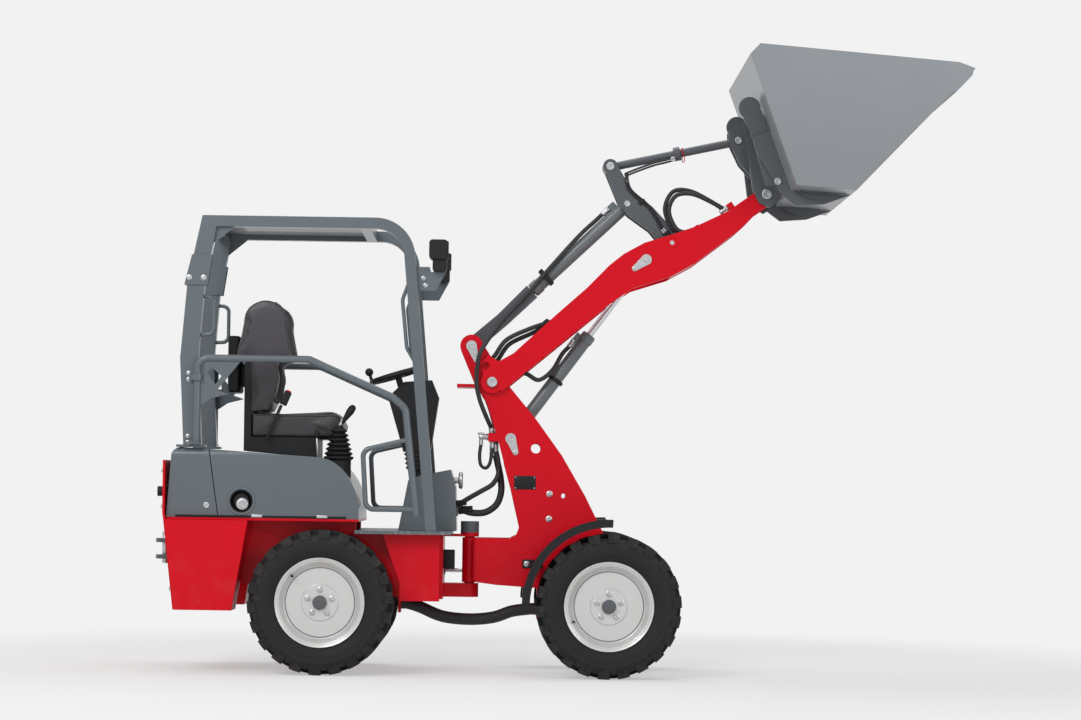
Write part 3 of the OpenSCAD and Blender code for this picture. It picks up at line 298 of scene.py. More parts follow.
def soft_box(name, place, target, size, watts):
    light = bpy.data.lights.new(name, "AREA")
    light.shape = "RECTANGLE"
    light.size, light.size_y = size
    light.energy = watts
    lamp = bpy.data.objects.new(name, light)
    lamp.location = place
    lamp.rotation_euler = (Vector(target) - Vector(place)).to_track_quat("-Z", "Y").to_euler()
    bpy.context.scene.collection.objects.link(lamp)


world = bpy.data.worlds.new("studio_world")
world.use_nodes = True
world.node_tree.nodes["Background"].inputs["Color"].default_value = (1, 1, 1, 1)
sky = Wire(world.node_tree)
sky_strength = seen_directly(sky) * (BACKGROUND[0] - WORLD_STRENGTH) + WORLD_STRENGTH
sky.feed(world.node_tree.nodes["Background"].inputs["Strength"], sky_strength)
bpy.context.scene.world = world
soft_box("key_box", (-4.5, -7.5, 6.5), (0, 0, 1.2), (4, 4), 390)
soft_box("fill_box", (5.5, -7.0, 3.0), (0.3, 0, 1.2), (4, 3), 120)
soft_box("top_box", (0, 1.0, 7.5), (0, 0, 1), (6, 4), 165)
bpy.context.scene.view_settings.view_transform = "Standard"
print("three soft boxes")

# %% [markdown]
# The red, grey and silver parts are powder coated: an even coat with a faint orange-peel skin, slightly paler
# where it thins out over an edge, and a little dust low down near the wheels. A flat colour would look like
# plastic. Edges come from the Bevel node, which also rounds off the sharp rims of the solids in the light.
# The cap over the steering pivot is grey on a red frame, so one coat takes a patch: a mask by place.

# %% Powder coats
DUST = screen(168, 156, 140)
DUST_TOP = 0.75
DUST_SHARE = 0.07
EDGE_RADIUS = 0.004


def powder_coat(name, colour, roughness=0.32, coat=0.25, gloss=0.4, patch=None):
    """Painted steel; a patch is a function that masks part of the piece, and that part's colour."""
    material, shader, place = new_finish(name, roughness, 0.0, coat)
    shader.inputs["Specular IOR Level"].default_value = gloss
    cloud = place.noise(3.0, 3.0)
    tint = cloud.blend(shade(colour, 0.93), shade(colour, 1.05))
    if patch:
        mask, other = patch
        tint = mask(place).blend(tint, other)
    rounded = place.node("ShaderNodeBevel", {"samples": 4}, {"Radius": EDGE_RADIUS})
    flat = place.node("ShaderNodeNewGeometry", (), (), "Normal")
    facing = place.node("ShaderNodeVectorMath", {"operation": "DOT_PRODUCT"}, {0: rounded, 1: flat}, "Value")
    worn = (1 - facing).ramp(0.02, 0.22) * place.noise(45.0, 3.0).ramp(0.4, 0.7)
    tint = (worn * 0.3).blend(tint, shade(colour, 1.35))
    low = place.axis("Z").ramp(DUST_TOP, 0.1)
    dust = low * place.noise(11.0, 4.0).ramp(0.42, 0.75) * DUST_SHARE
    tint = dust.blend(tint, DUST)
    matt = roughness + dust * 1.5 + place.noise(70.0) * 0.06
    paint(shader, tint, matt, relief(place, place.noise(420.0), 0.06, 0.001, EDGE_RADIUS))
    return material


def pivot_cap(place):
    """The frame's grey cap: above the beam and ahead of the console."""
    return place.axis("Z").ramp(0.679, 0.681) * place.axis("X").ramp(-0.466, -0.464)


RED = screen(213, 0, 27)
SLATE = screen(95, 104, 110)
ANTHRACITE = screen(78, 82, 87)
finishes = {
    "red_paint": powder_coat("red_powder_coat", RED, 0.34, 0.08, 0.16),
    "slate_paint": powder_coat("slate_powder_coat", SLATE),
    "anthracite_paint": powder_coat("anthracite_powder_coat", ANTHRACITE, 0.4),
}
cylinder_coat = powder_coat("cylinder_coat", screen(100, 106, 109), 0.36)
own_finish = {
    "rear_frame": powder_coat("red_and_grey_coat", RED, 0.34, 0.08, 0.16, (pivot_cap, SLATE)),
    "lift_barrel": cylinder_coat,
    "tilt_barrel": cylinder_coat,
    "lever_pin": finishes["red_paint"],
}
print("powder coats:", ", ".join(finishes))

# %% [markdown]
# The bucket's grey coat carries long fine scratches from loading, drawn by noise that is stretched along the
# machine, and painted shade that darkens it towards the bottom. Its brackets and skids stand outside the
# shell's back and heel, and are darker, so a mask tells by the distance from those two planes. The rims are
# silver lacquer. Both wheels of an axle share their axis, so the distance from the nearer axle gives rings on
# rims and tyres: a dark ring of painted shadow for the groove, moulded lines.

# %% Bucket, rims and tyres
WHEEL_Z = 0.345
AXLES_X = (-1.103, 0.266)
BUCKET_HEEL = (1.3901, 2.3182)
BUCKET_TURN = math.radians(46.5)


def from_axle(place):
    """Distance from the axis of the nearer axle."""
    away = [place.maths("ABSOLUTE", place.axis("X") - x) for x in AXLES_X]
    nearer = place.maths("MINIMUM", *away)
    up = place.axis("Z") - WHEEL_Z
    return place.maths("SQRT", nearer * nearer + up * up)


def outside_shell(place):
    """One on what stands outside the bucket's heel and back, drawn in the bucket's own turned axes."""
    cos, sin = math.cos(BUCKET_TURN), math.sin(BUCKET_TURN)
    x, z = place.axis("X") - BUCKET_HEEL[0], place.axis("Z") - BUCKET_HEEL[1]
    across, up = x * cos + z * sin, z * cos - x * sin
    from_heel = across * -0.771 + up * -0.636
    from_back = (across + 0.179) * -0.897 + (up - 0.217) * 0.442
    return place.maths("MAXIMUM", from_heel, from_back).ramp(0.001, 0.003)


def bucket_coat():
    colour = screen(142, 147, 152)
    material, shader, place = new_finish("bucket_coat", 0.4, 0.0, 0.1)
    stretched = place.node("ShaderNodeMapping", (), {"Vector": place, "Scale": (4.0, 60.0, 60.0)})
    scratch = stretched.noise(6.0, 5.0).ramp(0.62, 0.72)
    tint = place.noise(2.5, 4.0).blend(shade(colour, 0.9), shade(colour, 1.06))
    tint = (scratch * 0.28).blend(tint, shade(colour, 1.4))
    # Painted shade: the coat is darkened towards the bottom of the bucket.
    painted_shade_low = place.axis("Z").ramp(2.95, 2.3) * 0.6
    tint = painted_shade_low.blend(tint, shade(colour, 0.78))
    tint = outside_shell(place).blend(tint, ANTHRACITE)
    height = place.noise(380.0) - scratch * 0.4
    paint(shader, tint, 0.36 + scratch * 0.14, relief(place, height, 0.06, 0.001, EDGE_RADIUS))
    return material


def rim_lacquer():
    colour = screen(208, 208, 207)
    material, shader, place = new_finish("rim_lacquer", 0.34, 0.35, 0.2)
    away = from_axle(place)
    # Painted shadow: a thin dark ring where the groove between the disc and the outer ring lies.
    painted_groove_shadow = away.ramp(0.161, 0.163) * away.ramp(0.169, 0.167)
    rings = place.maths("SINE", away * 785.0) * away.ramp(0.186, 0.190)
    dust = away.ramp(0.12, 0.21) * place.noise(16.0, 4.0).ramp(0.4, 0.75)
    tint = (dust * 0.2).blend(colour, DUST)
    tint = (painted_groove_shadow * 0.72).blend(tint, screen(70, 70, 74))
    height = place.noise(300.0) * 0.17 + rings
    paint(shader, tint, 0.3 + dust * 0.25, relief(place, height, 0.3, 0.001, 0.003))
    return material


def tyre_rubber():
    colour = screen(36, 36, 38)
    material, shader, place = new_finish("tyre_rubber", 0.72)
    shader.inputs["Specular IOR Level"].default_value = 0.22
    away = from_axle(place)
    rings = place.maths("SINE", away * 520.0) * away.ramp(0.244, 0.25) * away.ramp(0.284, 0.278)
    dust = away.ramp(0.26, 0.34) * place.noise(26.0, 5.0).ramp(0.42, 0.72)
    tint = place.noise(9.0, 4.0).blend(shade(colour, 0.82), shade(colour, 1.15))
    tint = (dust * 0.08).blend(tint, DUST)
    matt = 0.62 + dust * 0.2 + place.noise(90.0) * 0.08
    height = place.noise(260.0) * 0.5 + rings
    paint(shader, tint, matt, relief(place, height, 0.25, 0.002, 0.004))
    return material


finishes["bucket_paint"] = bucket_coat()
finishes["rim_paint"] = rim_lacquer()
finishes["tyre_rubber"] = tyre_rubber()
print("bucket, rim and tyre finishes ready")

# %% [markdown]
# Bare metal comes in two kinds: zinc-plated pins and fittings with a cloudy grey, and chromed cylinder rods,
# smooth and mirror-like with the finest drag lines. Cast iron, moulded plastic and hose rubber follow. Hoses
# carry a woven cover, and its diamonds follow the hose, so they read the hose's own UV map.

# %% Metals, plastic and hoses
def plated_steel(name, colour, roughness, scale):
    material, shader, place = new_finish(name, roughness, 0.9)
    cloud = place.noise(scale, 4.0)
    tint = cloud.blend(shade(colour, 0.8), shade(colour, 1.08))
    matt = roughness - 0.06 + cloud * 0.14
    paint(shader, tint, matt, relief(place, place.noise(500.0), 0.04, 0.001, 0.002))
    return material


def moulded(name, colour, roughness, pebble, strength):
    material, shader, place = new_finish(name, roughness)
    shader.inputs["Specular IOR Level"].default_value = 0.25
    cloud = place.noise(14.0, 3.0)
    tint = cloud.blend(shade(colour, 0.85), shade(colour, 1.15))
    matt = roughness - 0.05 + place.noise(120.0) * 0.12
    paint(shader, tint, matt, relief(place, place.noise(pebble, 3.0), strength, 0.001, 0.003))
    return material


def woven_hose():
    colour = screen(38, 38, 41)
    material, shader, place = new_finish("woven_hose", 0.6)
    along = place.node("ShaderNodeTexCoord", (), (), "UV")
    length, around = along.axis("X"), along.axis("Y")
    one_way = place.maths("SINE", length * 900.0 + around * 75.4)
    other_way = place.maths("SINE", length * 900.0 - around * 75.4)
    weave = (one_way * other_way).ramp(-0.5, 0.6)
    tint = weave.blend(shade(colour, 0.6), shade(colour, 1.25))
    paint(shader, tint, 0.68 - weave * 0.16, relief(place, weave, 0.5, 0.001))
    return material


finishes["bright_steel"] = plated_steel("zinc_plate", screen(192, 193, 196), 0.34, 24.0)
finishes["rod_chrome"] = plated_steel("rod_chrome", screen(214, 216, 220), 0.14, 60.0)
finishes["engine_iron"] = moulded("cast_iron", screen(62, 64, 67), 0.6, 180.0, 0.3)
finishes["black_plastic"] = moulded("black_plastic", screen(26, 27, 29), 0.5, 380.0, 0.16)
finishes["hose_rubber"] = woven_hose()
print("metals, plastic and hose ready")

# %% [markdown]
# The seat is covered in dark vinyl with a fine leather grain, darker on the squab and the lower back. Cells
# of a Voronoi pattern give the grain, and a wide noise makes the cover a little shinier where the driver
# slides on and off. The foot plate has raised bars that stand crosswise in turn: each square of a grid holds
# one oval, turned by the square's parity.

# %% Seat vinyl and foot plate
TREAD_STEP = 0.032


def tread_plate():
    material, shader, place = new_finish("tread_plate", 0.42, 0.0, 0.1)
    column, row = [place.axis(name) * (1 / TREAD_STEP) for name in "XY"]
    turned = place.maths("ABSOLUTE", place.maths("FLOOR", column) + place.maths("FLOOR", row))
    sign = 1 - place.maths("MODULO", turned, 2.0) * 2
    across, up = place.maths("FRACT", column) - 0.5, (place.maths("FRACT", row) - 0.5) * sign
    longways, sideways = (across + up) * 1.25, (across - up) * 3.6
    bars = (longways * longways + sideways * sideways).ramp(1.0, 0.6)
    scuffed = bars * place.noise(30.0, 4.0).ramp(0.4, 0.7)
    tint = place.noise(6.0, 4.0).blend(shade(SLATE, 0.85), shade(SLATE, 1.05))
    tint = (scuffed * 0.45).blend(tint, screen(150, 154, 158))
    paint(shader, tint, 0.48 - scuffed * 0.12, relief(place, bars, 0.7, 0.002))
    return material


def seat_vinyl():
    lower, upper = screen(42, 40, 44), screen(60, 57, 63)
    material, shader, place = new_finish("seat_vinyl", 0.45, 0.0, 0.06)
    high = place.axis("Z").ramp(1.46, 1.50)
    dark, pale = [high.blend(shade(lower, share), shade(upper, share)) for share in (0.85, 1.12)]
    cells = place.node("ShaderNodeTexVoronoi", (), {"Vector": place, "Scale": 320.0}, "Distance")
    rubbed = place.noise(5.0, 3.0)
    paint(shader, rubbed.blend(dark, pale), 0.56 - rubbed * 0.2, relief(place, cells, 0.35, 0.0012))
    return material


finishes["seat_vinyl"] = seat_vinyl()
own_finish["floor_plate"] = tread_plate()
for row in frame["record"]["subparts"]:
    solid = frame["nodes"][row["node"]].data
    solid.materials.clear()
    solid.materials.append(own_finish.get(row["node"], finishes[row["material_slot"]]))

# %% [markdown]
# The small pieces are placed by the machine's own drawing, in millimetres from the steering pivot, so spot()
# turns such a place to the frame's metres. Boom pieces lie along tilted axes: arm, cylinders, lever and link.
# A few helpers repeat what a modeller does by hand: select, aim, copy, apply, and hand over to a body.

# %% Places and helpers
PIVOT_X = 402.08
HUB_Z = 345
ARM_PIVOT, ARM_ANGLE = (98, 1412), 35.2
TILT_BASE, TILT_ANGLE = (-4, 1588), 43.4
LIFT_BASE, LIFT_ANGLE = (193, 1140), 53.68
LEVER_BASE, LEVER_ANGLE = (961.8, 2100.9), 128.8
LINK_BASE, LINK_ANGLE = (659.8, 2476.5), 12.235
SIDES = (("right", -1), ("left", 1))
LEFT, RIGHT = Vector((0, 1, 0)), Vector((0, -1, 0))
FORWARD, UP = Vector((1, 0, 0)), Vector((0, 0, 1))


def spot(x, y, z):
    return Vector(((x - PIVOT_X) / 1000, y / 1000, z / 1000))


def along(base, degrees):
    """A function that places millimetres measured along a tilted axis from its base."""
    cos, sin = math.cos(math.radians(degrees)), math.sin(math.radians(degrees))

    def place(x, y, z):
        return spot(base[0] + x * cos - z * sin, y, base[1] + x * sin + z * cos)

    return place


on_arm = along(ARM_PIVOT, ARM_ANGLE)
on_tilt = along(TILT_BASE, TILT_ANGLE)
on_lift = along(LIFT_BASE, LIFT_ANGLE)
on_lever = along(LEVER_BASE, LEVER_ANGLE)
on_link = along(LINK_BASE, LINK_ANGLE)


def aim(obj, place, direction, size=1.0):
    """Stand an object's Z axis along a direction at a place."""
    turn = Vector(direction).to_track_quat("Z", "Y").to_matrix().to_4x4()
    obj.matrix_world = Matrix.Translation(place) @ turn @ Matrix.Scale(size, 4)
    return obj


def join(parts):
    start_fresh()
    for part in parts:
        part.select_set(True)
    bpy.context.view_layer.objects.active = parts[0]
    bpy.ops.object.join()
    return bpy.context.object


def copies(master, places):
    """Copies of a piece at (place, direction, size), each with its own mesh, joined to one object."""
    made = []
    for place, direction, size in places:
        pick(master)
        bpy.ops.object.duplicate()
        made.append(aim(bpy.context.object, place, direction, size))
    return join(made)


def dress(obj, name, slot, finish=None, smooth=35):
    """Put the piece's place into its mesh and give it its name and finish."""
    pick(obj)
    bpy.ops.object.transform_apply(location=True, rotation=True, scale=True)
    bpy.ops.object.shade_smooth_by_angle(angle=math.radians(smooth))
    obj.name = obj.data.name = name
    obj.data.materials.clear()
    obj.data.materials.append(finish or finishes[slot])
    return obj


def settle(obj, name, body, slot, finish=None):
    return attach(dress(obj, name, slot, finish), body)


print("arm axis ends near", tuple(round(v, 3) for v in on_arm(1612, 0, 0)))

# %% [markdown]
# Round pieces, such as caps, boots and fittings, are drawn up ring by ring: a filled circle is extruded to
# each next height and scaled to that radius. A profile turned with Spin would do, but leaves a seam to merge.
# Square pieces start as a cube with every edge bevelled, and flat ones as an outline that is extruded.

# %% Ring by ring, box and plate
def lathe(profile, sides=24):
    start_fresh()
    radius, height = profile[0]
    bpy.ops.mesh.primitive_circle_add(vertices=sides, radius=radius, fill_type="NGON", location=(0, 0, 0))
    piece = bpy.context.object
    edit()
    bpy.ops.transform.translate(value=(0, 0, height))
    for wide, high in profile[1:]:
        bpy.ops.mesh.extrude_region_move(TRANSFORM_OT_translate={"value": (0, 0, high - height)})
        bpy.ops.transform.resize(value=(wide / radius, wide / radius, 1), center_override=(0, 0, high))
        radius, height = wide, high
    bpy.ops.mesh.select_all(action="SELECT")
    bpy.ops.mesh.normals_make_consistent(inside=False)
    leave_edit()
    return piece


def soft_box_piece(low, high, round_off, steps=3):
    start_fresh()
    bpy.ops.mesh.primitive_cube_add(size=1, location=(low + high) / 2)
    piece = bpy.context.object
    piece.scale = Vector(abs(h - l) for l, h in zip(low, high))
    bpy.ops.object.transform_apply(location=True, rotation=True, scale=True)
    edit()
    bpy.ops.mesh.bevel(offset=round_off, segments=steps, affect="EDGES")
    leave_edit()
    return piece


def plate(outline, thick, round_off=0.0015):
    """A flat piece from an outline of places, thickened along Y and broken at its edges."""
    start_fresh()
    bpy.ops.mesh.primitive_circle_add(vertices=len(outline), radius=1, fill_type="NGON", location=(0, 0, 0))
    piece = bpy.context.object
    for vertex, place in zip(piece.data.vertices, outline):
        vertex.co = place
    edit()
    bpy.ops.mesh.extrude_region_move(TRANSFORM_OT_translate={"value": (0, thick, 0)})
    bpy.ops.mesh.select_all(action="SELECT")
    bpy.ops.mesh.normals_make_consistent(inside=False)
    bpy.ops.mesh.bevel(offset=round_off, segments=2, affect="EDGES")
    leave_edit()
    return piece


print("lathe, box and plate ready")

# %% [markdown]
# Hydraulic hoses run from the console over the steering pivot, under it to the front axle, and from a
# bulkhead on the tower to the arm and cylinders. Each is a curve along its solid, led a little wider where
# the boom needs room, with straight ends, made round by the curve's bevel, and is turned to a mesh. Its UV
# map is stretched to metres, so the woven cover keeps its size on every hose. Two thin hoses follow the
# lever and bend at its top to the link. A pin lies between those two, so they are split there.

# %% Hoses
def hose_line(points, steps=6):
    core = points[1:-1]
    line = [points[0]]
    for i in range(len(core) - 1):
        a, b, c, d = core[max(i - 1, 0)], core[i], core[i + 1], core[min(i + 2, len(core) - 1)]
        for k in range(steps):
            t = k / steps
            bend = (2 * a - 5 * b + 4 * c - d) * t * t + (3 * b - a - 3 * c + d) * t ** 3
            line.append(0.5 * (2 * b + (c - a) * t + bend))
    return line + [core[-1], points[-1]]


def tube(name, lines, radius, closed=False):
    """A round mesh tube along lines of places."""
    curve = bpy.data.curves.new(name, "CURVE")
    curve.dimensions = "3D"
    curve.bevel_depth = radius
    curve.bevel_resolution = 3
    curve.use_fill_caps = not closed
    for line in lines:
        spline = curve.splines.new("POLY")
        spline.points.add(len(line) - 1)
        spline.use_cyclic_u = closed
        for point, place in zip(spline.points, line):
            point.co = (*place, 1)
    piece = bpy.data.objects.new(name, curve)
    bpy.context.scene.collection.objects.link(piece)
    pick(piece)
    bpy.ops.object.convert(target="MESH")
    return bpy.context.object


def hose(name, routes, radius, replaced=None):
    lines = [hose_line(route) for route in routes]
    length = sum((q - p).length for line in lines for p, q in zip(line, line[1:])) / len(lines)
    piece = tube(name, lines, radius)
    for corner in piece.data.uv_layers[0].data:
        corner.uv.x *= length
    dress(piece, name, "hose_rubber", smooth=60)
    if replaced:
        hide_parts(replaced)
    print(name, "is", round(length, 2), "m long")
    return piece


def pivot_route(y):
    flat = [(-58, 790), (-38, 790), (10, 776), (75, 780), (128, 818), (150, 880), (146, 950), (126, 1040)]
    return [spot(x, y, z) for x, z in flat + [(110, 1100), (110, 1125)]]


def arm_route(k):
    y = -50 - 26 * k
    rise = 24 * k
    lower = [(118, 1165), (118, 1190), (92, 1280), (54 - 4 * k, 1400), (66 - 8 * k, 1490)]
    upper = [(82, 76 + rise), (175, 108 + rise), (295, 90 + rise), (400, 72 + rise / 2), (430, 64 + rise / 4)]
    upper += [(454.7, 64 + rise / 4)]
    return [spot(x, y, z) for x, z in lower] + [on_arm(x, y, z) for x, z in upper]


def loop_route(k):
    y = -79 - 24 * k
    r = 1 - 0.16 * k
    flat = [(1228, 56), (1208, 56), (1225 - 75 * r, 60 + 55 * r), (1225 - 55 * r, 100 + 120 * r)]
    flat += [(1240 + 10 * r, 110 + 160 * r), (1320, 100 + 128 * r), (1375, 70 + 62 * r)]
    return [on_arm(x, y, z) for x, z in flat + [(1407, 56), (1425, 56)]]


def upper_route(y):
    flat = [(-68, 820), (-44, 824), (0, 852), (55, 884), (106, 916), (134, 964), (134, 1025), (124, 1075)]
    return [spot(x, y, z) for x, z in flat + [(120, 1100), (120, 1125)]]


def coupling_route(y):
    flat = [(48, 1140), (48, 1112), (42, 1060), (48, 1012), (72, 996), (92, 1018), (101, 1070)]
    return [spot(x, y, z) for x, z in flat + [(104, 1100), (104, 1125)]]


def lever_bend(k):
    """Three places in line where a lever hose turns to the link."""
    return [on_lever(400, -62, -30 - 12 * k), on_link(62, -63, -51 - 12 * k), on_link(78, -63, -47 - 12 * k)]


def lever_route(k):
    side = [(64, -6), (92, -6), (200, -20), (320, 2), (370, -10)]
    return [on_lever(x, -61, z - 12 * k) for x, z in side] + lever_bend(k)


def link_route(k):
    under = [(140, -63, -36), (210, -60, -26), (262, -38, -22), (298, -24, -18), (319, -22, -16)]
    return lever_bend(k) + [on_link(x, y, z - 12 * k) for x, y, z in under]


PIVOT_HOSES_Y, UPPER_HOSES_Y, COUPLING_HOSES_Y = (-30, 30), (-64, 64), (-85, 85)
PIVOT_RADIUS, DRIVE_RADIUS, BOOM_RADIUS = 0.017, 0.030, 0.011
UPPER_RADIUS, COUPLING_RADIUS, LEVER_RADIUS = 0.0125, 0.008, 0.005
drive_flat = [(-331, 330), (-301, 330), (-240, 312), (-130, 268), (0, 255), (120, 266), (210, 297)]
drive_route = [spot(x, 0, z) for x, z in drive_flat + [(300, 310), (330, 310)]]
lift_low = [(124, -20, 1165), (124, -20, 1190), (140, -48, 1290), (166, -74, 1400), (205, -84, 1452)]
lift_low += [(262, -84, 1458), (325, -80, 1428)]
lift_high = [(390, -52, 40), (480, -30, 50), (530, 0, 46), (553, 0, 46), (577.7, 0, 46)]
lift_route = [spot(*p) for p in lift_low] + [on_lift(*p) for p in lift_high]
tilt_low = [(98, -88, 1165), (98, -88, 1190), (72, -138, 1245), (40, -148, 1325), (24, -151, 1400)]
tilt_low += [(26, -151, 1480), (46, -150, 1568)]
tilt_middle = [(185, -76, -12), (355, -52, 2), (500, -50, 20)]
tilt_high = [(746, -24, 44), (864.4, 0, 46), (926.4, 0, 46), (954.1, 0, 46)]
tilt_start = [spot(*p) for p in tilt_low] + [on_tilt(*p) for p in tilt_middle]
tilt_end = [on_tilt(*p) for p in tilt_middle[-1:] + tilt_high]
tilt_start.append(on_tilt(515, -49, 21))
tilt_end.insert(0, on_tilt(470, -51, 17))

pivot_pair = hose("pivot_hose_pair", [pivot_route(y) for y in PIVOT_HOSES_Y], PIVOT_RADIUS, "pivot_hoses")
spot(-45, 0, 790)
spot(105, 0, 790)
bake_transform(pivot_pair)
drive_sleeve = hose("drive_hose_sleeve", [drive_route], DRIVE_RADIUS, "drive_hose")
spot(-290, 0, 320)
spot(290, 0, 310)
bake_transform(drive_sleeve)
arm_pair = hose("arm_hose_pair", [arm_route(k) for k in (0, 1)], BOOM_RADIUS, "arm_hoses")
spot(70, -60, 1330)
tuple(on_arm(260, -60, 95))
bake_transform(arm_pair)
lift_line = hose("lift_hose_line", [lift_route], BOOM_RADIUS, "lift_hose")
spot(160, -50, 1380)
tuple(on_lift(470, -30, 50))
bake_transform(lift_line)
tilt_first = hose("tilt_hose_first", [tilt_start], BOOM_RADIUS, "tilt_hose")
spot(25, -151, 1420)
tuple(on_tilt(330, -52, 0))
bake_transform(tilt_first)
tilt_second = hose("tilt_hose_second", [tilt_end], BOOM_RADIUS)
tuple(on_tilt(520, -50, 20))
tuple(on_tilt(840, 0, 46))
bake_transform(tilt_second)
loop_pair = hose("loop_hose_pair", [loop_route(k) for k in (0, 1)], BOOM_RADIUS, "loop_hoses")
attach(loop_pair, "arm")
arm_up = (on_arm(0, 0, 1) - on_arm(0, 0, 0)).normalized()
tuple(on_arm(1300, -91, 56))
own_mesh(loop_pair)
upper_pair = hose("upper_hose_pair", [upper_route(y) for y in UPPER_HOSES_Y], UPPER_RADIUS)
spot(-45, 0, 824)
spot(105, 0, 824)
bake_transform(upper_pair)
coupling_routes = [coupling_route(y) for y in COUPLING_HOSES_Y]
coupling_pair = hose("coupling_hose_pair", coupling_routes, COUPLING_RADIUS)
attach(coupling_pair, "front")
lever_pair = hose("lever_hose_pair", [lever_route(k) for k in (0, 1)], LEVER_RADIUS)
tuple(on_lever(320, -61, 0))
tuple(on_lever(396, -62, -34))
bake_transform(lever_pair)
link_pair = hose("link_hose_pair", [link_route(k) for k in (0, 1)], LEVER_RADIUS)
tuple(on_link(68, -63, -50))
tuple(on_link(140, -63, -36))
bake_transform(link_pair)

# %% [markdown]
# A hose ends in a crimped sleeve and a hexagon nut. One fitting is modelled at the size of a hose with radius
# one, then copied to every hose end, pointing into the hose, and scaled to it.

# %% Hose fittings
def hose_fitting():
    crimps = [(1.18, 0.1), (1.18, 1.5), (1.08, 1.6), (1.08, 1.75), (1.18, 1.85), (1.18, 2.9)]
    sleeve = lathe([(1.0, 0.0), *crimps, (1.05, 3.1)], 16)
    nut = lathe([(1.15, -0.9), (1.32, -0.75), (1.32, -0.15), (1.15, 0.02)], 6)
    return join([sleeve, nut])


def route_ends(route, radius):
    first = (route[0] + (route[1] - route[0]).normalized() * radius, route[1] - route[0], radius)
    last = (route[-1] + (route[-2] - route[-1]).normalized() * radius, route[-2] - route[-1], radius)
    return first, last


fitting = hose_fitting()
pivots = [route_ends(pivot_route(y), PIVOT_RADIUS) for y in PIVOT_HOSES_Y]
arms = [route_ends(arm_route(k), 0.0108) for k in (0, 1)]
loops = [route_ends(loop_route(k), 0.0105) for k in (0, 1)]
uppers = [route_ends(upper_route(y), 0.012) for y in UPPER_HOSES_Y]
couplings = [end for route in coupling_routes for end in route_ends(route, COUPLING_RADIUS)]
lift_ends = route_ends(lift_route, BOOM_RADIUS)
tilt_first_end = route_ends(tilt_start, BOOM_RADIUS)[0]
tilt_last_end = route_ends(tilt_end, BOOM_RADIUS)[1]
tower_ends = [pair[1] for pair in pivots + uppers] + [pair[0] for pair in arms]
fittings = {
    "rear": [pair[0] for pair in pivots + uppers],
    "front": tower_ends + couplings + [lift_ends[0], tilt_first_end],
    "arm": [pair[1] for pair in arms] + [end for pair in loops for end in pair],
    "lift_barrel": [lift_ends[1]],
    "tilt_barrel": [tilt_last_end],
    "lever": [route_ends(lever_route(k), LEVER_RADIUS)[0] for k in (0, 1)],
    "link": [route_ends(link_route(k), LEVER_RADIUS)[1] for k in (0, 1)],
}
for body, places in fittings.items():
    sleeve_slot = "black_plastic" if body == "rear" else "bright_steel"
    settle(copies(fitting, places), "hose_fittings_" + body, body, sleeve_slot)
bpy.data.objects.remove(fitting)
print(sum(len(p) for p in fittings.values()), "hose fittings")

# %% [markdown]
# The seat is a foam cushion and a back with wrap-around wings under tight vinyl. A copy of each solid is
# merged, remeshed to even squares and smoothed, which draws its corners in, and then blown up a little by the
# pressure of a cloth simulation, so its panels crown as foam does. No point may move further than a cap.

# %% Seat cushions
PAD_VOXEL = 0.007
PAD_FRAMES = 20


def plump(solid, name, cap):
    pad = bpy.data.objects.new(name, frame["nodes"][solid].data.copy())
    bpy.context.scene.collection.objects.link(pad)
    pick(pad)
    edit()
    bpy.ops.mesh.remove_doubles(threshold=0.0001)
    leave_edit()
    pad.data.remesh_voxel_size = PAD_VOXEL
    bpy.ops.object.voxel_remesh()
    rounding = pad.modifiers.new("rounding", "SMOOTH")
    rounding.factor = 0.5
    rounding.iterations = 24
    bpy.ops.object.modifier_apply(modifier=rounding.name)
    rest = [v.co.copy() for v in pad.data.vertices]
    blow_up(pad)
    for vertex, home in zip(pad.data.vertices, rest):
        step = vertex.co - home
        if step.length > cap:
            vertex.co = home + step.normalized() * cap
    dress(pad, name, "seat_vinyl", smooth=60)
    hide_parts(solid)
    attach(pad, "rear")
    return pad


def blow_up(pad):
    air = pad.modifiers.new("air", "CLOTH")
    air.settings.use_pressure = True
    air.settings.uniform_pressure_force = 4
    air.settings.effector_weights.gravity = 0
    for step in range(1, PAD_FRAMES + 1):
        bpy.context.scene.frame_set(step)
    pick(pad)
    bpy.ops.object.modifier_apply(modifier=air.name)
    bpy.context.scene.frame_set(1)


squab = plump("seat_cushion", "seat_squab", 0.008)
backrest = plump("seat_back", "seat_backrest", 0.006)
print("seat squab", len(squab.data.polygons), "faces, backrest", len(backrest.data.polygons))

# %% [markdown]
# A cord of piping is sewn into the seams along the wings and round the squab. Each point of its line is
# pulled to the nearest place on the swollen cover, so it follows the cushion that the simulation made.

# %% Seat piping
def piping(name, pad, line):
    sewn = []
    for place in line:
        near, normal = pad.closest_point_on_mesh(place)[1:3]
        sewn.append(near + normal * 0.001)
    return tube(name, [sewn], 0.004)


def between(points, steps=10):
    return [a.lerp(b, k / steps) for a, b in zip(points, points[1:]) for k in range(steps)] + [points[-1]]


SEAM_Y = 226
wing = [(-985, 1255), (-941, 1337), (-925, 1413), (-938, 1480), (-870, 1530), (-880, 1660)]
wing += [(-905, 1745), (-950, 1785)]
seams = [piping("seam_wing", backrest, between([spot(x, y, z) for x, z in wing])) for y in (-SEAM_Y, SEAM_Y)]
rim_corners = [(-1050, -SEAM_Y), (-630, -SEAM_Y), (-612, -190)]
rim_corners += [(x, -y) for x, y in reversed(rim_corners)]
seams.append(piping("seam_squab", squab, between([spot(x, y, 1236) for x, y in rim_corners])))
settle(join(seams), "seat_piping", "rear", "seat_vinyl")
print("piping sewn on", len(seams), "seams")

# %% [markdown]
# The drive lever stands beside the seat in a folded rubber boot. The boot is the lathe again: rings that step
# in and out make its folds. The stick leans forward and ends in a flat paddle that fits the palm.

# %% Drive lever
LEVER_X, LEVER_Y = -632, -285
BOOT_FOLDS = 6


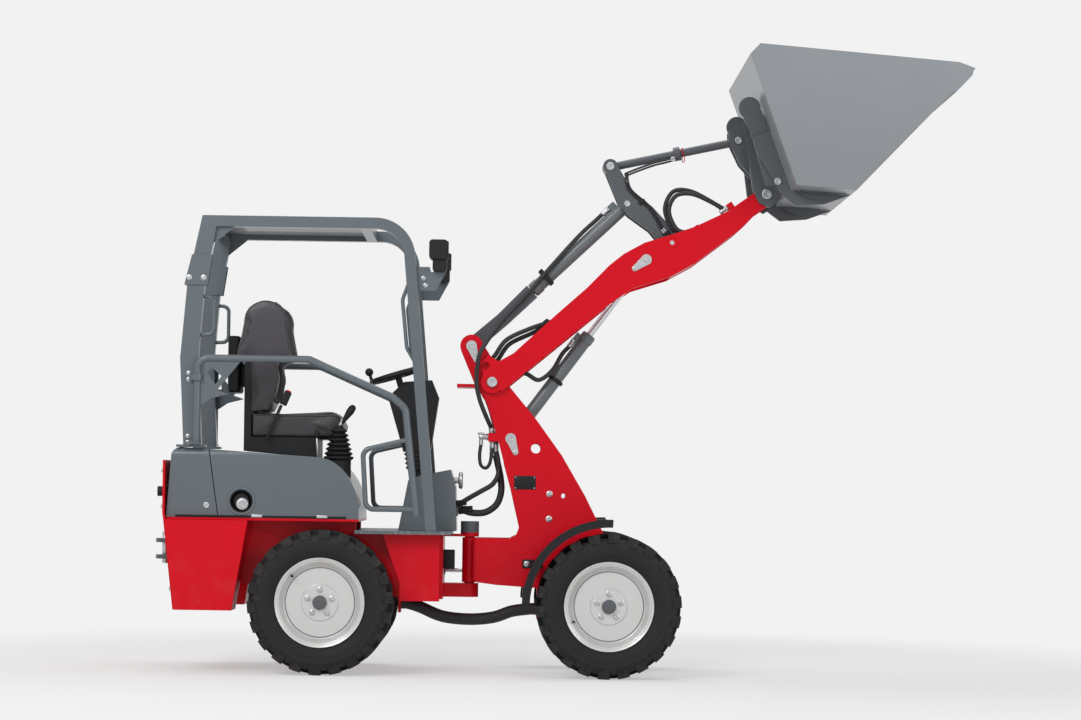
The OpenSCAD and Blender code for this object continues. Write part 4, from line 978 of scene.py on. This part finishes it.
def lever_boot():
    rings = [(0.060, 0.745), (0.060, 1.020), (0.072, 1.030), (0.072, 1.038)]
    for fold in range(BOOT_FOLDS):
        wide = 0.068 - 0.0055 * fold
        base = 1.042 + 0.022 * fold
        rings += [(wide - 0.012, base), (wide, base + 0.009), (wide, base + 0.013)]
        rings.append((wide - 0.012, base + 0.021))
    rings += [(0.022, 1.180), (0.014, 1.188)]
    return aim(lathe(rings, 32), spot(LEVER_X, LEVER_Y, 0), UP)


def lever_grip():
    palm = [(0.024, 0.045), (0.030, 0.07), (0.028, 0.09), (0.018, 0.102), (0.006, 0.105)]
    paddle = lathe([(0.008, 0.0), (0.014, 0.004), (0.017, 0.02), *palm], 24)
    paddle.scale = (1.0, 0.62, 1.0)
    bpy.ops.object.transform_apply(location=False, rotation=False, scale=True)
    return aim(paddle, spot(LEVER_X + 14, LEVER_Y, 1198), Vector((0.55, 0, 0.83)))


boot = settle(lever_boot(), "lever_boot", "rear", "black_plastic")
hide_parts("control_lever")
stick = lathe([(0.007, 0.0), (0.008, 0.002), (0.008, 0.042), (0.006, 0.045)], 16)
aim(stick, spot(LEVER_X, LEVER_Y, 1180), Vector((0.45, 0, 0.9)))
settle(stick, "lever_stick", "rear", "bright_steel")
settle(lever_grip(), "lever_grip", "rear", "black_plastic")
print("drive lever with", BOOT_FOLDS, "folds")

# %% [markdown]
# Beside the seat are a belt buckle on its stalk, the seat's adjusting lever with a black knob, and behind the
# back a flat black case. These are small, but they break up the dark shape of the seat.

# %% Belt buckle, seat lever, case
def bar_between(a, b, radius, sides=12):
    """A round bar from one place to another, with its ends broken."""
    span = (b - a).length
    tip, step = radius * 0.8, radius * 0.3
    return aim(lathe([(tip, 0), (radius, step), (radius, span - step), (tip, span)], sides), a, b - a)


def turned_box(size, round_off, place, direction):
    half = Vector(size) / 2
    return aim(soft_box_piece(-half, half, round_off), place, direction)


BELT_Y, SEAT_LEVER_Y = -246, -262
belt_low, belt_high = spot(-985, BELT_Y, 1114), spot(-913, BELT_Y, 1283)
belt_line = belt_high - belt_low
belt_pieces = (
    ("belt_stalk", (0.006, 0.016, belt_line.length), 0.0025, belt_low.lerp(belt_high, 0.5), "black_plastic"),
    ("belt_buckle", (0.022, 0.036, 0.070), 0.006, spot(-893, BELT_Y, 1316), "black_plastic"),
    ("belt_button", (0.014, 0.024, 0.012), 0.003, spot(-879, BELT_Y, 1348), "red_paint"),
)
for name, size, round_off, place, slot in belt_pieces:
    settle(turned_box(size, round_off, place, belt_line), name, "rear", slot)
seat_rod = bar_between(spot(-733, SEAT_LEVER_Y, 1030), spot(-739, SEAT_LEVER_Y, 1128), 0.005)
settle(seat_rod, "seat_lever_rod", "rear", "bright_steel")
knob = lathe([(0.007, 0), (0.010, 0.004), (0.011, 0.026), (0.008, 0.034), (0.003, 0.036)], 16)
settle(aim(knob, spot(-739, SEAT_LEVER_Y, 1126), UP), "seat_lever_knob", "rear", "black_plastic")
seat_case = soft_box_piece(spot(-1186, -120, 1345), spot(-1129, 120, 1620), 0.012)
case_foot = soft_box_piece(spot(-1140, -60, 1375), spot(-1094, 60, 1480), 0.006)
settle(join([seat_case, case_foot]), "seat_case", "rear", "black_plastic")
print("belt", round(belt_line.length, 3), "m stalk, lever and case")

# %% [markdown]
# Each wheel carries a ring of nuts on the pad of its rim, a dark cap over the hub, and a valve in the groove.
# A nut is a chamfered hexagon on a washer. It is modelled once and copied round the hub.

# %% Wheel nuts, caps and valves
NUT_COUNT = 5
NUT_CIRCLE = 60
PAD_Y, CAP_Y, VALVE_Y = 454, 472, 452
VALVE_CIRCLE = 180
hub_grey = powder_coat("hub_grey", screen(84, 87, 92), 0.45, 0.1)


def hexagon_bolt():
    """A bolt head of radius one on its washer."""
    washer = lathe([(1.45, 0.0), (1.55, 0.06), (1.55, 0.2), (1.42, 0.28)], 18)
    head = lathe([(1.0, 0.2), (1.0, 0.92), (0.82, 1.05), (0.5, 1.05), (0.46, 0.98)], 6)
    return join([washer, head])


bolt = hexagon_bolt()
hub_cap = lathe([(0.033, -0.004), (0.034, 0.003), (0.031, 0.007), (0.020, 0.010), (0.008, 0.011)], 32)
stem = [(0.0045, 0.014), (0.0045, 0.030), (0.0055, 0.031), (0.005, 0.040)]
valve = lathe([(0.006, 0.0), (0.006, 0.012), *stem], 12)
axles = {"front": (668, 204), "rear": (-701, 137)}
for end, (x, valve_angle) in axles.items():
    for side, sign in SIDES:
        body = "wheel_" + end + "_" + side
        out = Vector((0, sign, 0))
        angles = [math.radians(90 + 360 * k / NUT_COUNT) for k in range(NUT_COUNT)]
        ring = [(math.cos(a) * NUT_CIRCLE, math.sin(a) * NUT_CIRCLE) for a in angles]
        nuts = [(spot(x + p, sign * PAD_Y, HUB_Z + q), out, 0.010) for p, q in ring]
        settle(copies(bolt, nuts), "nuts_" + body, body, "bright_steel")
        cap = copies(hub_cap, [(spot(x, sign * CAP_Y, HUB_Z), out, 1)])
        settle(cap, "cap_" + body, body, "slate_paint", hub_grey)
        turn = math.radians(valve_angle)
        across, rise = VALVE_CIRCLE * math.cos(turn), VALVE_CIRCLE * math.sin(turn)
        place = spot(x + across, sign * VALVE_Y, HUB_Z + rise)
        settle(copies(valve, [(place, out, 1)]), "valve_" + body, body, "black_plastic")
bpy.data.objects.remove(hub_cap)
bpy.data.objects.remove(valve)
print(4 * NUT_COUNT, "wheel nuts")

# %% [markdown]
# Bolts hold the lap joint of the driver's frame, the gate hinges, the tower, the pins' keepers, the fender
# brackets, the lamps and the tail plate. They are grouped by the body they ride on, so each group is one
# piece. The tail plate leans forward below its fold, so its lower bolts lean with it.

# %% Bolts
TOWER_Y, KEEPER_Y, ARM_KEEPER_Y = 110, 115, 141
TAIL_X = -1457
TAIL_LEAN = Vector((-1, 0, -0.117))


def both(x, y, z, size):
    """The same bolt on both sides of the machine, heads outward."""
    return [(spot(x, -y, z), RIGHT, size), (spot(x, y, z), LEFT, size)]


frame_bolts = both(-1348, 396, 1880, 0.009) + both(-1280, 396, 1880, 0.009)
for z in (1095, 1125, 1395, 1425):
    frame_bolts += both(-1345, 390, z, 0.007)
for x, z in ((-235, 1895), (-225, 1860)):
    frame_bolts += both(x, 369, z, 0.007)
for y in (-390, 390):
    frame_bolts += [(spot(TAIL_X, y, z), -FORWARD, 0.010) for z in (960, 790)]
    frame_bolts.append((spot(-1413.7, y, 400), TAIL_LEAN, 0.010))
tower_bolts = both(385, TOWER_Y, 874, 0.010) + both(384, TOWER_Y, 753, 0.010)
tower_bolts += both(19.9, KEEPER_Y, 1522.2, 0.004) + both(216.9, KEEPER_Y, 1074.2, 0.007)
tower_bolts += both(279, TOWER_Y + 8, 533, 0.009)
settle(copies(bolt, frame_bolts), "bolts_rear", "rear", "bright_steel")
settle(copies(bolt, tower_bolts), "bolts_front", "front", "bright_steel")
settle(copies(bolt, both(782.3, ARM_KEEPER_Y, 1973.8, 0.007)), "bolts_arm", "arm", "bright_steel")
bpy.data.objects.remove(bolt)
feet = []
for side, sign in SIDES:
    inner, outer = sign * (TOWER_Y - 1), sign * (TOWER_Y + 8)
    feet.append(soft_box_piece(spot(258, inner, 512), spot(316, outer, 554), 0.004))
settle(join(feet), "fender_feet", "front", "black_plastic")
print(len(frame_bolts) + len(tower_bolts) + 2, "bolts")

# %% [markdown]
# A black plate with four rivets is fixed to the tower; its face is left bare. Pins of the coupler and the
# lever show a bright end with a turned ring and a centre hole, so a turned disc is set on each. A drawbar pin
# with a cross handle stands in the tow jaw.

# %% Plate, rivets, pin ends
plate_corners = ((212, 960), (318, 960), (318, 894), (212, 894))
plate_places = [spot(x, -TOWER_Y, z) for x, z in plate_corners]
settle(plate(plate_places, -0.002, 0.0005), "tower_plate", "front", "black_plastic")
rivet = lathe([(0.0035, 0), (0.0035, 0.001), (0.002, 0.0022), (0.0008, 0.0025)], 12)
rivet_places = [(spot(x, -TOWER_Y - 1.8, z), RIGHT, 1) for x in (219, 311) for z in (901, 953)]
settle(copies(rivet, rivet_places), "tower_rivets", "front", "bright_steel")
bpy.data.objects.remove(rivet)
turned = [(0.88, 0.2), (0.6, 0.2), (0.56, 0.14), (0.26, 0.14), (0.22, 0.02)]
pin_end = lathe([(1.0, -0.3), (1.0, 0.1), *turned], 24)
ends = {
    "front": both(98, 150, 1412, 0.025) + both(-4, 115, 1588, 0.015) + both(193, 115, 1140, 0.015),
    "arm": both(837.5, 145, 2016.9, 0.012),
    "lever_pin": both(961.8, 138, 2100.9, 0.011),
    "lever": both(744.7, 56, 2295.9, 0.015),
    "link_pin": both(659.8, 62, 2476.5, 0.019),
    "coupler_pin": both(1415.2, 168, 2341.2, 0.024),
    "coupler": both(1283.3, 57, 2611.7, 0.018) + both(1444.6, 392, 2378.6, 0.017),
}
for body, places in ends.items():
    settle(copies(pin_end, places), "pin_ends_" + body, body, "bright_steel")
bpy.data.objects.remove(pin_end)
TOW_X = -1491
tow_pin = [bar_between(spot(TOW_X, 0, 508), spot(TOW_X, 0, 662), 0.0145, 24)]
tow_pin.append(bar_between(spot(TOW_X, -42, 656), spot(TOW_X, 42, 656), 0.007, 16))
settle(join(tow_pin), "tow_pin", "rear", "bright_steel")
print(sum(len(p) for p in ends.values()), "pin ends")

# %% [markdown]
# On the hood: a ribbed metal fuel cap in its dark recess, a black strip along the lower edge with two catch
# plates, and a round latch on the rear panel. The strip is soft-edged and lies in the joint line as a painted
# shade for the shadow of the gap there.

# %% Hood fittings
FILLER = (-1080, 806)
HOOD_Y = 400


def ribbed_cap():
    top = [(0.027, 0.020), (0.014, 0.022), (0.012, 0.019)]
    cap = lathe([(0.026, 0.0), (0.030, 0.002), (0.030, 0.016), *top], 40)

    def every_other(mid, normal):
        step = int(math.degrees(math.atan2(mid.y, mid.x)) / 9 + 40)
        return abs(normal.z) < 0.2 and mid.z < 0.014 and step % 2 == 0

    select_faces(cap, every_other)
    bpy.ops.mesh.inset(thickness=0.0006, use_individual=True)
    bpy.ops.transform.resize(value=(0.93, 0.93, 1), center_override=(0, 0, 0))
    leave_edit()
    return cap


fuel_cap = aim(ribbed_cap(), spot(FILLER[0], -HOOD_Y + 8, FILLER[1]), RIGHT)
settle(fuel_cap, "fuel_cap", "rear", "bright_steel")
for side, sign in SIDES:
    inner, outer = sign * (HOOD_Y - 4), sign * (HOOD_Y + 4)
    # Painted shade: a black strip in the joint line stands in for the shadow of the gap between hood and
    # frame.
    joint_shade_strip = soft_box_piece(spot(-1398, inner, 741), spot(-585, outer, 752), 0.003)
    settle(joint_shade_strip, "hood_joint_shade_" + side, "rear", "hose_rubber", finishes["black_plastic"])
    catches = []
    for x in (-1010, -700):
        catches.append(soft_box_piece(spot(x - 26, inner, 743), spot(x + 26, outer + sign * 3, 757), 0.002))
    settle(join(catches), "hood_catches_" + side, "rear", "bright_steel")
    slot = [(0.010, 0.004), (0.009, 0.0015), (0.004, 0.0015), (0.003, 0.003)]
    latch = lathe([(0.014, -0.001), (0.014, 0.003), *slot], 24)
    out = Vector((0, sign, 0))
    settle(aim(latch, spot(-1251, sign * HOOD_Y, 798), out), "hood_latch_" + side, "rear", "bright_steel")

# %% [markdown]
# Each work lamp gets a clear lens in a raised frame on its front face. The lens is faintly ribbed glass over
# a bright reflector, which reads as pale and glossy in daylight. The reflector is not modelled: the lens is
# painted pale as a painted reflection of it, with painted highlights in stripes along its ribs. A horn with a
# bright bell is on the console.

# %% Lamp lenses and horn
def lens_glass():
    material, shader, place = new_finish("lens_glass", 0.08, 0.0, 0.6)
    ribs = place.maths("SINE", place.axis("Y") * 900.0)
    # Painted reflection: the pale tint stands in for the bright reflector behind the lens, with painted
    # highlights in stripes along the ribs.
    tint = ribs.ramp(-1.0, 1.0).blend(screen(196, 202, 206), screen(232, 236, 238))
    place.feed(shader.inputs["Base Color"], tint)
    place.feed(shader.inputs["Normal"], relief(place, ribs, 0.3, 0.001))
    return material


glass = lens_glass()
for side, sign in SIDES:
    y0, y1 = sorted((sign * 318, sign * 412))
    bezel = soft_box_piece(spot(-124, y0, 1990), spot(-117, y1, 2070), 0.003)
    select_faces(bezel, lambda mid, normal: normal.x > 0.9)
    bpy.ops.mesh.inset(thickness=0.006)
    bpy.ops.transform.translate(value=(-0.003, 0, 0))
    leave_edit()
    settle(bezel, "lamp_bezel_" + side, "rear", "black_plastic")
    lens_piece = soft_box_piece(spot(-122, y0 + 9, 1999), spot(-118.5, y1 - 9, 2061), 0.0015)
    settle(lens_piece, "lamp_lens_" + side, "rear", "bright_steel", glass)
bell = [(0.038, 0.028), (0.042, 0.035), (0.042, 0.042), (0.036, 0.047), (0.024, 0.043), (0.010, 0.045)]
horn = lathe([(0.012, 0.0), (0.016, 0.004), (0.016, 0.025), *bell, (0.004, 0.047)], 32)
settle(aim(horn, spot(-84, -90, 934), FORWARD), "horn", "rear", "bright_steel")
valve_box = soft_box_piece(spot(-127, -150, 505), spot(-70, -95, 597), 0.005)
settle(valve_box, "valve_box", "rear", "black_plastic")

# %% [markdown]
# Hoses are held by clamps: a flat band round each cylinder, a saddle over the pair on the arm, and a block on
# the lever. On the bucket link a red safety ring hangs beside the collar. A band is a short tube, drawn up by
# the lathe and bored out, so that the rod slides through it. The ring is a closed wire, a little bent.

# %% Clamps and ring
RING_RADIUS = 0.034
RING_STEPS = 40


def band(place, direction, radius, wide, proud):
    """A ring round a barrel: the lathe's two caps are cut out and their rims joined."""
    half, step, top = wide / 2, proud / 2, radius + proud
    ring = lathe([(radius, -half), (top, step - half), (top, half - step), (radius, half)], 32)
    select_faces(ring, lambda mid, normal: abs(normal.z) > 0.9 and mid.xy.length < 0.001)
    bpy.ops.mesh.delete(type="FACE")
    bpy.ops.mesh.select_mode(type="EDGE")
    bpy.ops.mesh.select_non_manifold()
    bpy.ops.mesh.bridge_edge_loops()
    bpy.ops.mesh.select_all(action="SELECT")
    bpy.ops.mesh.normals_make_consistent(inside=False)
    leave_edit()
    return aim(ring, place, direction)


def heading(place):
    """The direction of a tilted axis."""
    return place(1, 0, 0) - place(0, 0, 0)


def safety_ring(x):
    line = []
    for k in range(RING_STEPS):
        turn = 2 * math.pi * k / RING_STEPS
        sway = 5 * math.sin(2 * turn) + 4 * math.cos(turn)
        wide = RING_RADIUS * 1000
        line.append(on_link(x + sway, wide * 0.82 * math.sin(turn), wide * math.cos(turn) - 11))
    return tube("link_ring", [line], 0.0022, closed=True)


tilt_band = turned_box((0.088, 0.092, 0.022), 0.004, on_tilt(498, -8, 4), heading(on_tilt))
settle(tilt_band, "tilt_hose_clamp", "tilt_rod", "black_plastic")
lift_band = band(on_lift(362, 0, 0), heading(on_lift), 0.036, 0.020, 0.006)
settle(lift_band, "lift_band", "lift_barrel", "black_plastic")
arm_saddle = turned_box((0.052, 0.054, 0.030), 0.006, on_arm(385, -63, 80), heading(on_arm))
settle(arm_saddle, "arm_hose_clamp", "arm", "black_plastic")
lever_block = turned_box((0.012, 0.036, 0.036), 0.003, on_lever(48, -61, -12), heading(on_lever))
lever_clip = turned_box((0.014, 0.034, 0.018), 0.003, on_lever(250, -61, -14), heading(on_lever))
settle(join([lever_block, lever_clip]), "lever_clamps", "lever", "black_plastic")
settle(safety_ring(362), "link_ring", "link", "red_paint")
print("clamps on", round(heading(on_tilt).length * 1000, 3), "axes and a ring of", RING_STEPS, "steps")

# %% [markdown]
# At the rear of the tower sit two couplings for a tool's own circuit. Each screws into the bulkhead and
# points back, with a turned grip, a small tap handle on top, and a hose that hangs below and loops up again.

# %% Couplings
COUPLING_Z = 1148
grip = [(0.015, 0.003), (0.015, 0.014), (0.011, 0.016), (0.011, 0.022), (0.014, 0.024), (0.014, 0.040)]
for (side, sign), y in zip(SIDES, COUPLING_HOSES_Y):
    body = lathe([(0.013, -0.002), *grip, (0.012, 0.044), (0.006, 0.047)], 20)
    parts = [aim(body, spot(84, y, COUPLING_Z), -FORWARD)]
    parts.append(bar_between(spot(58, y, COUPLING_Z), spot(58, y, COUPLING_Z + 19), 0.004))
    parts.append(bar_between(spot(30, y, COUPLING_Z + 17), spot(64, y, COUPLING_Z + 17), 0.0035))
    settle(join(parts), "coupling_" + side, "front", "bright_steel")
print("two couplings at", COUPLING_Z, "mm")
